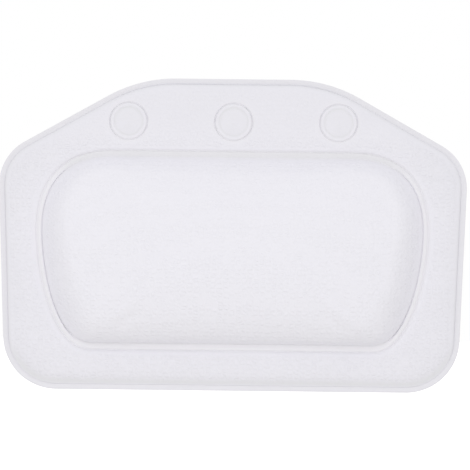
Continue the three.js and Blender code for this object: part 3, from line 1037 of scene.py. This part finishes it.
def carried(flat, before, after, faces, most):
    """How far flat places move with a sheet between two of its shapes, up to a limit."""
    moves = after - before
    moves *= np.minimum(1, most / np.maximum(np.linalg.norm(moves, axis=1), TINY))[:, None]
    corners = [Vector((x, z, 0)) for x, _, z in before]
    finder = BVHTree.FromPolygons(corners, faces)
    gains = []
    for x, z in flat:
        place, _, face, _ = finder.find_nearest(Vector((x, z, 0)))
        shares = poly_3d_calc([corners[k] for k in faces[face]], place)
        gains.append(np.array(shares) @ moves[list(faces[face])])
    return np.array(gains)


# Materials

# Sizes of what the finishes show: drawn patches, flow marks, pores, haze waves and their relief
PATCH_SIZE = 0.025
FLOW_LENGTH = 0.008
FLOW_WIDTH = 0.002
FLOW_DEPTH = 0.00004
PORE_SIZE = 0.001
PORE_DEPTH = 0.0004
HAZE_SIZE = 0.025 / 3
HAZE_DEPTH = 0.00008


def add_node(tree, kind, values=None, links=None, **settings):
    """Adds one node with its settings, its sockets' values and what its sockets are linked to."""
    made = tree.nodes.new(kind)
    for name, value in settings.items():
        setattr(made, name, value)
    for socket, value in (values or {}).items():
        made.inputs[socket].default_value = value
    for socket, source in (links or {}).items():
        tree.links.new(source, made.inputs[socket])
    return made


def new_material(name):
    """An empty material and its node tree."""
    material = bpy.data.materials.new(name)
    material.use_nodes = True
    material.node_tree.nodes.clear()
    return material, material.node_tree


def solid(shade):
    """A colour with full cover, for a node's colour socket."""
    return (*shade, 1.0)


def foamed_vinyl(finish):
    """Foamed vinyl sheet, embossed by a hot roller: matt, cool white, with a fine grain of flat pebbles
    between furrows in painted shade; lighter over the pad, with painted light and painted shade by its tone
    mark."""
    material, tree = new_material("foamed_vinyl_pebble_embossed")
    lay = add_node(tree, "ShaderNodeAttribute", attribute_name="lay").outputs["Vector"]
    emboss, tone, fused = (
        add_node(tree, "ShaderNodeAttribute", attribute_name=mark).outputs["Fac"] for mark in MARKS
    )
    size = (1 / finish.grain_length, 1 / finish.grain_height, 1 / finish.grain_height)
    place = add_node(tree, "ShaderNodeMapping", {"Scale": size}, {"Vector": lay}).outputs["Vector"]
    sway = add_node(tree, "ShaderNodeTexNoise", {"Scale": 0.5, "Detail": 1.0}, {"Vector": place})
    swayed = add_node(
        tree, "ShaderNodeVectorMath", {"Scale": 0.5}, {0: sway.outputs["Color"]}, operation="SCALE"
    )
    wavy = add_node(tree, "ShaderNodeVectorMath", links={0: place, 1: swayed.outputs[0]}, operation="ADD")
    cells = add_node(
        tree, "ShaderNodeTexVoronoi", {"Scale": 1.0, "Randomness": 0.6}, {"Vector": wavy.outputs[0]},
        feature="DISTANCE_TO_EDGE",
    )
    pebble = add_node(
        tree, "ShaderNodeMapRange", {"From Max": 0.45}, {"Value": cells.outputs["Distance"]},
        interpolation_type="SMOOTHSTEP",
    ).outputs["Result"]
    raised = add_node(tree, "ShaderNodeMath", links={0: pebble, 1: emboss}, operation="MULTIPLY").outputs[0]
    bump = add_node(
        tree, "ShaderNodeBump", {"Strength": 1.0, "Distance": finish.grain_depth}, {"Height": raised}
    )
    # Cloudy patches, where the sheet is drawn a little more or less
    cloud = add_node(tree, "ShaderNodeTexNoise", {"Scale": 1 / PATCH_SIZE, "Detail": 2.0}, {"Vector": lay})
    patchy = add_node(
        tree, "ShaderNodeMapRange", {"To Min": -0.2, "To Max": 0.2}, {"Value": cloud.outputs["Fac"]}
    )
    worked = add_node(tree, "ShaderNodeMath", links={0: tone, 1: patchy.outputs["Result"]}, operation="ADD")
    share = add_node(tree, "ShaderNodeMapRange", {"From Min": -1.0}, {"Value": worked.outputs[0]})
    sheet = add_node(tree, "ShaderNodeValToRGB", links={"Fac": share.outputs["Result"]})
    # Ramp: tone -1 is the painted-shade colour, 0 the plain sheet, +1 the lighter colour of the pad and
    # painted light
    stops = sheet.color_ramp.elements
    stops[0].color = solid(finish.vinyl_shaded)
    stops[1].color = solid(finish.vinyl_lighter)
    stops.new(0.5).color = solid(finish.vinyl)
    tinted = add_node(
        tree, "ShaderNodeMix", {"B": solid(finish.vinyl_fused)},
        {"Factor": fused, "A": sheet.outputs["Color"]}, data_type="RGBA", blend_type="MULTIPLY",
    )
    # Painted shade: the furrows between pebbles are darkened where they would keep some light out
    sunk = add_node(tree, "ShaderNodeMath", links={0: emboss, 1: raised}, operation="SUBTRACT")
    furrow = add_node(
        tree, "ShaderNodeMapRange", {"To Min": 1.0, "To Max": 1 - finish.grain_painted_shade},
        {"Value": sunk.outputs[0]},
    )
    shade = add_node(
        tree, "ShaderNodeVectorMath", links={0: tinted.outputs["Result"], "Scale": furrow.outputs["Result"]},
        operation="SCALE",
    )
    rough = add_node(tree, "ShaderNodeMapRange", {"To Min": 0.62, "To Max": 0.5}, {"Value": pebble})
    shader = add_node(tree, "ShaderNodeBsdfPrincipled", {"IOR": 1.5, "Specular IOR Level": 0.35}, {
        "Base Color": shade.outputs["Vector"], "Roughness": rough.outputs["Result"],
        "Normal": bump.outputs["Normal"],
    })
    add_node(tree, "ShaderNodeOutputMaterial", links={"Surface": shader.outputs["BSDF"]})
    return material


def welded_vinyl(finish):
    """Vinyl fused between heated dies: smoother and a touch greyer than the sheet, with faint flow marks."""
    material, tree = new_material("welded_vinyl_die_pressed")
    place = add_node(tree, "ShaderNodeTexCoord").outputs["Object"]
    size = (1 / FLOW_LENGTH, 1 / FLOW_WIDTH, 1 / FLOW_WIDTH)
    drawn_out = add_node(tree, "ShaderNodeMapping", {"Scale": size}, {"Vector": place})
    flow = add_node(
        tree, "ShaderNodeTexNoise", {"Scale": 1.0, "Detail": 3.0}, {"Vector": drawn_out.outputs[0]}
    ).outputs["Fac"]
    shade = add_node(
        tree, "ShaderNodeMix", {"A": solid(finish.weld), "B": solid(finish.weld_shade)}, {"Factor": flow},
        data_type="RGBA",
    )
    rough = add_node(tree, "ShaderNodeMapRange", {"To Min": 0.36, "To Max": 0.5}, {"Value": flow})
    bump = add_node(tree, "ShaderNodeBump", {"Strength": 1.0, "Distance": FLOW_DEPTH}, {"Height": flow})
    shader = add_node(tree, "ShaderNodeBsdfPrincipled", {"IOR": 1.53}, {
        "Base Color": shade.outputs["Result"], "Roughness": rough.outputs["Result"],
        "Normal": bump.outputs["Normal"],
    })
    add_node(tree, "ShaderNodeOutputMaterial", links={"Surface": shader.outputs["BSDF"]})
    return material


def open_cell_foam(finish):
    """Cut polyurethane foam: dull, cream, full of fine pores in painted shade."""
    material, tree = new_material("polyurethane_foam_open_cell")
    place = add_node(tree, "ShaderNodeTexCoord").outputs["Object"]
    cells = add_node(tree, "ShaderNodeTexVoronoi", {"Scale": 1 / PORE_SIZE}, {"Vector": place})
    pores = cells.outputs["Distance"]
    # Painted shade in the pores
    shade = add_node(
        tree, "ShaderNodeMix", {"A": solid(finish.foam_pore_shade), "B": solid(finish.foam)}, {"Factor": pores},
        data_type="RGBA",
    )
    bump = add_node(tree, "ShaderNodeBump", {"Strength": 1.0, "Distance": PORE_DEPTH}, {"Height": pores})
    shader = add_node(tree, "ShaderNodeBsdfPrincipled", {"Roughness": 0.95}, {
        "Base Color": shade.outputs["Result"], "Normal": bump.outputs["Normal"],
    })
    add_node(tree, "ShaderNodeOutputMaterial", links={"Surface": shader.outputs["BSDF"]})
    return material


def clear_vinyl(finish):
    """Soft clear vinyl, moulded: glossy, see-through, with a bluish haze and slight flow waves."""
    material, tree = new_material("clear_soft_vinyl_moulded")
    place = add_node(tree, "ShaderNodeTexCoord").outputs["Object"]
    waves = add_node(tree, "ShaderNodeTexNoise", {"Scale": 1 / HAZE_SIZE, "Detail": 2.0}, {"Vector": place})
    haze = waves.outputs["Fac"]
    shade = add_node(
        tree, "ShaderNodeMix", {"A": solid(finish.cup), "B": solid(finish.cup_haze)}, {"Factor": haze},
        data_type="RGBA",
    )
    rough = add_node(tree, "ShaderNodeMapRange", {"To Min": 0.1, "To Max": 0.2}, {"Value": haze})
    bump = add_node(tree, "ShaderNodeBump", {"Strength": 1.0, "Distance": HAZE_DEPTH}, {"Height": haze})
    shader = add_node(tree, "ShaderNodeBsdfPrincipled", {"Transmission Weight": 0.75, "IOR": 1.53}, {
        "Base Color": shade.outputs["Result"], "Roughness": rough.outputs["Result"],
        "Normal": bump.outputs["Normal"],
    })
    add_node(tree, "ShaderNodeOutputMaterial", links={"Surface": shader.outputs["BSDF"]})
    return material


MATERIALS = {
    "vinyl_sheet": foamed_vinyl,
    "welded_vinyl": welded_vinyl,
    "foam": open_cell_foam,
    "clear_vinyl": clear_vinyl,
}

MADE = {}


def material_for(slot):
    """The material of one of the record's slots, made when it is first asked for."""
    if slot not in MADE:
        MADE[slot] = MATERIALS[slot](bpy.context.scene.bath_pillow.finish)
    return MADE[slot]


# Rim, core and cups

# Roundings of a cup: head, as a share of its thickness, then neck, lip (back, up and round), the middle
# of the hollow and pull tab
HEAD_ROUND = 0.4
NECK_FILLET = 0.0006
LIP_ROUND = (0.0001, 0.0004, 0.0005)
HOLLOW_MIDDLE = 0.0006
TAB_ROUND = 0.0004


def rim_tree():
    """Node tree that sweeps a rounded bar along a flat closed line and stands it up in the pillow's plane."""
    tree = bpy.data.node_groups.new("rim_weld_sweep", "GeometryNodeTree")
    corners = ["Outer front", "Inner front", "Inner back", "Outer back"]
    sockets = {
        "Line": "NodeSocketGeometry", **{corner: "NodeSocketVector" for corner in corners},
        "Round": "NodeSocketFloat", "Depth": "NodeSocketFloat", "Material": "NodeSocketMaterial",
    }
    for name, kind in sockets.items():
        tree.interface.new_socket(name, in_out="INPUT", socket_type=kind)
    tree.interface.new_socket("Rim", in_out="OUTPUT", socket_type="NodeSocketGeometry")
    sizes = add_node(tree, "NodeGroupInput").outputs
    path = add_node(tree, "GeometryNodeMeshToCurve", links={"Mesh": sizes["Line"]})
    level = add_node(tree, "GeometryNodeSetCurveNormal", links={"Curve": path.outputs[0]}, mode="Z_UP")
    bar = add_node(
        tree, "GeometryNodeCurvePrimitiveQuadrilateral",
        links={f"Point {k + 1}": sizes[corner] for k, corner in enumerate(corners)}, mode="POINTS",
    )
    soft_bar = add_node(
        tree, "GeometryNodeFilletCurve", {"Count": 6},
        {"Curve": bar.outputs[0], "Radius": sizes["Round"]}, mode="POLY",
    )
    swept = add_node(
        tree, "GeometryNodeCurveToMesh",
        links={"Curve": level.outputs[0], "Profile Curve": soft_bar.outputs[0]},
    )
    move = add_node(tree, "ShaderNodeCombineXYZ", links={"Y": sizes["Depth"]})
    stood = add_node(
        tree, "GeometryNodeTransform", {"Rotation": (math.pi / 2, 0, 0)},
        {"Geometry": swept.outputs[0], "Translation": move.outputs[0]},
    )
    real = add_node(tree, "GeometryNodeRealizeInstances", links={"Geometry": stood.outputs[0]})
    dressed = add_node(
        tree, "GeometryNodeSetMaterial",
        links={"Geometry": real.outputs[0], "Material": sizes["Material"]},
    )
    add_node(tree, "NodeGroupOutput", links={"Rim": dressed.outputs[0]})
    return tree


def from_nodes(name, mesh, tree, inputs, material):
    """Runs a node tree on a mesh and keeps the result as a plain piece."""
    carrier = added(name + "_path", mesh)
    modifier = carrier.modifiers.new("sweep", "NODES")
    modifier.node_group = tree
    for socket in tree.interface.items_tree:
        if socket.in_out == "INPUT" and socket.name in inputs:
            modifier[socket.identifier] = inputs[socket.name]
    made = evaluated_mesh(carrier, name)
    bpy.data.objects.remove(carrier)
    return placed(name, made, material)


def evaluated_mesh(carrier, name):
    """A plain mesh of an object as its modifiers leave it."""
    bpy.context.view_layer.update()
    seen = carrier.evaluated_get(bpy.context.evaluated_depsgraph_get())
    made = bpy.data.meshes.new_from_object(seen)
    made.name = name
    return made


def rim_weld(pattern, material):
    """The fused rim that closes both sheets all round."""
    sheets = pattern.sheets
    line = pattern.rim_loop(sheets.rim_width / 2)
    path = bpy.data.meshes.new("rim_path")
    edges = [(k, (k + 1) % RIM_POINTS) for k in range(RIM_POINTS)]
    path.from_pydata([(x, z, 0) for x, z in line], edges, [])
    outer, inner = sheets.rim_width / 2, -sheets.rim_width / 2
    thick, thin = sheets.rim_thickness / 2, sheets.rim_thickness / 2 - sheets.rim_lift
    sizes = {
        "Outer front": (outer, thick, 0), "Inner front": (inner, thin, 0),
        "Inner back": (inner, -thin, 0), "Outer back": (outer, -thick, 0),
        "Round": sheets.rim_round, "Depth": pattern.middle, "Material": material,
    }
    return from_nodes("rim_weld", path, rim_tree(), sizes, material)


def foam_core(pattern, material):
    """The foam block in the pad, one clearance inside both sheets."""
    skin, sheets, pad = Skin(), pattern.sheets, pattern.pad
    wall = sheets.formed + sheets.clearance

    def half(face, sign, swell, reach):
        start = pattern.chamber_start(swell, reach, wall)
        loops = []
        for share in np.linspace(0, 1, CORE_STRIPS + 1)[1:]:
            inset = start + (reach - start) * share ** 2
            flat = pattern.pad_loop(inset + wall)
            height = sheets.pressed + swell(inset, flat[:, 1]) - wall
            loops.append(skin.points(flat, face + sign * height))
        skin.fill([loops[-1]])
        skin.strips(loops)
        return loops[0]

    start = pattern.chamber_start(pattern.front_swell, pad.reach, wall)
    waist = skin.points(pattern.pad_loop(start + wall), pattern.middle)
    ahead = half(pattern.front, -1, pattern.front_swell, pad.reach)
    behind = half(pattern.back, 1, pattern.back_swell, pad.back_reach)
    skin.strips([ahead, waist, behind])
    return skin.piece("foam_core", material)


def cup_profile(pattern):
    """Half the section of a cup, as radius and depth, from the head's middle round to the hollow's."""
    cups, clearance = pattern.cups, pattern.sheets.clearance
    head_back = pattern.back - cups.eyelet - clearance
    head_front = head_back - cups.head_thickness
    lip_inner = cups.lip_radius - cups.lip_land
    edge, fillet, quarter = HEAD_ROUND * cups.head_thickness, NECK_FILLET, math.pi / 2
    neck = cups.neck_radius + fillet
    lip_back, lip_rise, lip_turn = LIP_ROUND
    bell_side = [(cups.shoulder_seat, -cups.height), (lip_inner, -cups.height), (cups.lip_radius, 0)]
    lip = [(cups.lip_radius - lip_back, -lip_rise), (cups.lip_radius, 0), (cups.lip_radius - lip_turn, 0)]
    hollow = [
        (lip_inner, 0), (lip_inner - cups.hollow_slope, -cups.hollow), (HOLLOW_MIDDLE, -cups.hollow),
    ]
    return np.vstack([
        arc((cups.head_radius - edge, head_front + edge), edge, -quarter, 0, EDGE_POINTS),
        arc((cups.head_radius - edge, head_back - edge), edge, 0, quarter, EDGE_POINTS),
        arc((neck, head_back + fillet), fillet, -quarter, -2 * quarter, FILLET_POINTS),
        arc((neck, -cups.height - fillet), fillet, 2 * quarter, quarter, FILLET_POINTS),
        bezier(bell_side, ROUND_POINTS)[:-1],
        bezier(lip, FILLET_POINTS),
        bezier(hollow, ROUND_POINTS),
    ])


def pull_tab(pattern, across):
    """The tab that a finger lifts to let air under a cup, with rounded edges."""
    cups = pattern.cups
    root = -(cups.lip_radius - cups.lip_land / 2)
    middle = -(cups.lip_radius + cups.tab_reach - cups.tab_half)
    tip = arc((across, middle), cups.tab_half, math.pi, 2 * math.pi, ROUND_POINTS)
    flat = np.vstack([[(across - cups.tab_half, root)], tip, [(across + cups.tab_half, root)]])
    shell = bmesh.new()
    front = -(cups.tab_lift + cups.tab_thickness)
    face = shell.faces.new([shell.verts.new((x, front, z)) for x, z in flat])
    pulled = bmesh.ops.extrude_face_region(shell, geom=[face])["geom"]
    moved = [item for item in pulled if isinstance(item, bmesh.types.BMVert)]
    bmesh.ops.translate(shell, verts=moved, vec=(0, cups.tab_thickness, 0))
    bmesh.ops.recalc_face_normals(shell, faces=shell.faces)
    rims = [item for item in shell.edges if abs(item.verts[0].co.y - item.verts[1].co.y) < TINY]
    bmesh.ops.bevel(shell, geom=rims, offset=TAB_ROUND, segments=3, profile=0.5, affect="EDGES")
    mesh = bpy.data.meshes.new("pull_tab")
    shell.to_mesh(mesh)
    shell.free()
    return mesh


def suction_cup(pattern, side, material):
    """One cup: head, neck, bell and pull tab in one moulding."""
    across = pattern.cup_places[side]
    skin = Skin()
    loops = [skin.points(circle(across, radius), depth) for radius, depth in cup_profile(pattern)]
    skin.strips(loops)
    for loop in (loops[0], loops[-1]):
        skin.close(loop, (across, 0), skin.places[loop[0]][1])
    bell = skin.piece("bell_" + side, material)
    tab = placed("tab_" + side, pull_tab(pattern, across), material)
    union = bell.modifiers.new("tab", "BOOLEAN")
    union.operation = "UNION"
    union.solver = "EXACT"
    union.object = tab
    mesh = evaluated_mesh(bell, "cup_" + side)
    for helper in (bell, tab):
        bpy.data.objects.remove(helper)
    mesh.attributes.remove(mesh.attributes["lay"])
    return placed("cup_" + side, mesh, material)


# Stage

# Lamp, camera and floor
KEY_PLACE = (-0.2, -1.6, 0.28)
KEY_SIZE = 1.0
SENSOR_WIDTH = 36
VIEW_END = 50
FLOOR_HALF = 4
FLOOR_CELLS = 8
FLOOR_LIFT = 0.5
FLOOR_COLOUR = solid(linear("F6F5F2"))
WHITE = solid(linear("FFFFFF"))


def key_lamp(stage, target):
    """One large soft lamp in front of the pillow, a little above it and to its left."""
    lamp = bpy.data.lights.new("key_lamp", "AREA")
    lamp.size = KEY_SIZE
    lamp.energy = stage.key_power
    holder = added("key_lamp", lamp)
    holder.visible_camera = False
    holder.location = KEY_PLACE
    holder.rotation_euler = (Vector(target) - Vector(KEY_PLACE)).to_track_quat("-Z", "Y").to_euler()


def white_room(stage):
    """World: even light on the pillow, plain white where the camera or a reflection sees it."""
    world = bpy.data.worlds.new("white_room")
    world.use_nodes = True
    tree = world.node_tree
    tree.nodes.clear()
    rays = add_node(tree, "ShaderNodeLightPath").outputs
    shown = rays["Is Camera Ray"]
    for kind in ("Is Glossy Ray", "Is Transmission Ray"):
        either = add_node(tree, "ShaderNodeMath", links={0: shown, 1: rays[kind]}, operation="MAXIMUM")
        shown = either.outputs[0]
    strength = add_node(
        tree, "ShaderNodeMapRange", {"To Min": stage.ambient, "To Max": 1.0}, {"Value": shown}
    )
    room = add_node(
        tree, "ShaderNodeBackground", {"Color": WHITE}, {"Strength": strength.outputs["Result"]}
    )
    add_node(tree, "ShaderNodeOutputWorld", links={"Surface": room.outputs[0]})
    bpy.context.scene.world = world


def pale_floor(stage):
    """A pale floor under the pillow that keeps its shadow."""
    material, tree = new_material("painted_board_matt_white")
    rays = add_node(tree, "ShaderNodeLightPath").outputs
    lift = add_node(tree, "ShaderNodeMath", {1: FLOOR_LIFT}, {0: rays["Is Camera Ray"]}, operation="MULTIPLY")
    shader = add_node(
        tree, "ShaderNodeBsdfPrincipled",
        {"Base Color": FLOOR_COLOUR, "Roughness": 0.9, "Emission Color": WHITE},
        {"Emission Strength": lift.outputs[0]},
    )
    add_node(tree, "ShaderNodeOutputMaterial", links={"Surface": shader.outputs["BSDF"]})
    shell = bmesh.new()
    bmesh.ops.create_grid(shell, x_segments=FLOOR_CELLS, y_segments=FLOOR_CELLS, size=FLOOR_HALF)
    bmesh.ops.translate(shell, verts=shell.verts, vec=(0, 0, -stage.floor_drop))
    mesh = bpy.data.meshes.new("floor")
    shell.to_mesh(mesh)
    shell.free()
    mesh.materials.append(material)
    floor = added("floor", mesh)


def studio(stage, depth):
    """Camera square on to the pillow, a soft lamp, white room and floor."""
    camera = bpy.data.cameras.new("camera")
    camera.sensor_width = SENSOR_WIDTH
    camera.lens = camera.sensor_width * stage.distance / stage.view_width
    camera.clip_end = VIEW_END
    holder = added("camera", camera)
    holder.location = (stage.aim_across, depth - stage.distance, -stage.aim_drop)
    holder.rotation_euler = (math.pi / 2, -stage.turn, 0)
    bpy.context.scene.camera = holder
    bpy.context.scene.view_settings.view_transform = "Standard"
    key_lamp(stage, (0, depth, -stage.aim_drop))
    white_room(stage)
    pale_floor(stage)


# Operators


class BATHPILLOW_OT_front_cover(bpy.types.Operator):
    """Builds the front sheet with its pad, weld band and ring welds"""

    bl_idname = "bath_pillow.front_cover"
    bl_label = "Front Cover"

    def execute(self, context):
        pattern = Pattern(context.scene.bath_pillow)
        cover = FrontCover(pattern, pattern.front, -1, pattern.front_swell, pattern.pad.reach)
        piece = cover.build(material_for("vinyl_sheet"))
        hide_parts("flap_front_sheet", "pad_front_sheet")
        pattern.bend(piece)
        return {"FINISHED"}


class BATHPILLOW_OT_back_cover(bpy.types.Operator):
    """Builds the back sheet with its holes for the cups"""

    bl_idname = "bath_pillow.back_cover"
    bl_label = "Back Cover"

    def execute(self, context):
        pattern = Pattern(context.scene.bath_pillow)
        cover = BackCover(pattern, pattern.back, 1, pattern.back_swell, pattern.pad.back_reach)
        piece = cover.build(material_for("vinyl_sheet"))
        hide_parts("flap_back_sheet", "pad_back_sheet")
        pattern.bend(piece)
        return {"FINISHED"}


class BATHPILLOW_OT_rim_weld(bpy.types.Operator):
    """Builds the fused rim all round"""

    bl_idname = "bath_pillow.rim_weld"
    bl_label = "Rim Weld"

    def execute(self, context):
        pattern = Pattern(context.scene.bath_pillow)
        piece = rim_weld(pattern, material_for("welded_vinyl"))
        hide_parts("flap_rim_weld", "pad_rim_weld")
        pattern.bend(piece)
        return {"FINISHED"}


class BATHPILLOW_OT_foam_core(bpy.types.Operator):
    """Builds the foam in the pad"""

    bl_idname = "bath_pillow.foam_core"
    bl_label = "Foam Core"

    def execute(self, context):
        piece = foam_core(Pattern(context.scene.bath_pillow), material_for("foam"))
        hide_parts("pad_core")
        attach(piece, "pad")
        return {"FINISHED"}


class BATHPILLOW_OT_suction_cups(bpy.types.Operator):
    """Builds the three suction cups"""

    bl_idname = "bath_pillow.suction_cups"
    bl_label = "Suction Cups"

    def execute(self, context):
        pattern = Pattern(context.scene.bath_pillow)
        for side in SIDES:
            piece = suction_cup(pattern, side, material_for("clear_vinyl"))
            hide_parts("suction_cup_" + side)
            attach(piece, side + "_cup")
        return {"FINISHED"}


class BATHPILLOW_OT_inner_welds(bpy.types.Operator):
    """Finishes the fused films and eyelets that lie between the sheets"""

    bl_idname = "bath_pillow.inner_welds"
    bl_label = "Inner Welds"

    def execute(self, context):
        for name in ["pad_weld", *(kind + side for kind in ("cup_weld_", "eyelet_") for side in SIDES)]:
            mesh = frame["nodes"][name].data
            mesh.materials.clear()
            mesh.materials.append(material_for("welded_vinyl"))
        return {"FINISHED"}


class BATHPILLOW_OT_stage(bpy.types.Operator):
    """Sets up the camera, lamp, white room and floor"""

    bl_idname = "bath_pillow.stage"
    bl_label = "Stage"

    def execute(self, context):
        settings = context.scene.bath_pillow
        studio(settings.stage, Pattern(settings).middle)
        return {"FINISHED"}


GROUPS = (PillowOutline, PillowPad, PillowSheets, PillowCups, PillowFinish, PillowStage, BathPillowSettings)
OPERATORS = (
    BATHPILLOW_OT_stage, BATHPILLOW_OT_front_cover, BATHPILLOW_OT_back_cover, BATHPILLOW_OT_rim_weld,
    BATHPILLOW_OT_foam_core, BATHPILLOW_OT_suction_cups, BATHPILLOW_OT_inner_welds,
)


class BATHPILLOW_PT_panel(bpy.types.Panel):
    """Lists the pieces' operators and every size"""

    bl_idname = "BATHPILLOW_PT_panel"
    bl_label = "Bath Pillow"
    bl_space_type = "VIEW_3D"
    bl_region_type = "UI"
    bl_category = "Bath Pillow"

    def draw(self, context):
        for operator in OPERATORS:
            self.layout.operator(operator.bl_idname)
        settings = context.scene.bath_pillow
        for group in settings.bl_rna.properties.keys():
            values = getattr(settings, group)
            if isinstance(values, bpy.types.PropertyGroup):
                box = self.layout.box()
                box.label(text=group.title())
                for name in values.__annotations__:
                    box.prop(values, name)


CLASSES = (*GROUPS, *OPERATORS, BATHPILLOW_PT_panel)


def register():
    for made in CLASSES:
        bpy.utils.register_class(made)
    bpy.types.Scene.bath_pillow = bpy.props.PointerProperty(type=BathPillowSettings)


def unregister():
    del bpy.types.Scene.bath_pillow
    for made in reversed(CLASSES):
        bpy.utils.unregister_class(made)


def main():
    register()
    bpy.ops.bath_pillow.stage()
    bpy.ops.bath_pillow.front_cover()
    bpy.ops.bath_pillow.back_cover()
    bpy.ops.bath_pillow.rim_weld()
    bpy.ops.bath_pillow.foam_core()
    bpy.ops.bath_pillow.suction_cups()
    bpy.ops.bath_pillow.inner_welds()


if __name__ == "__main__":
    main()
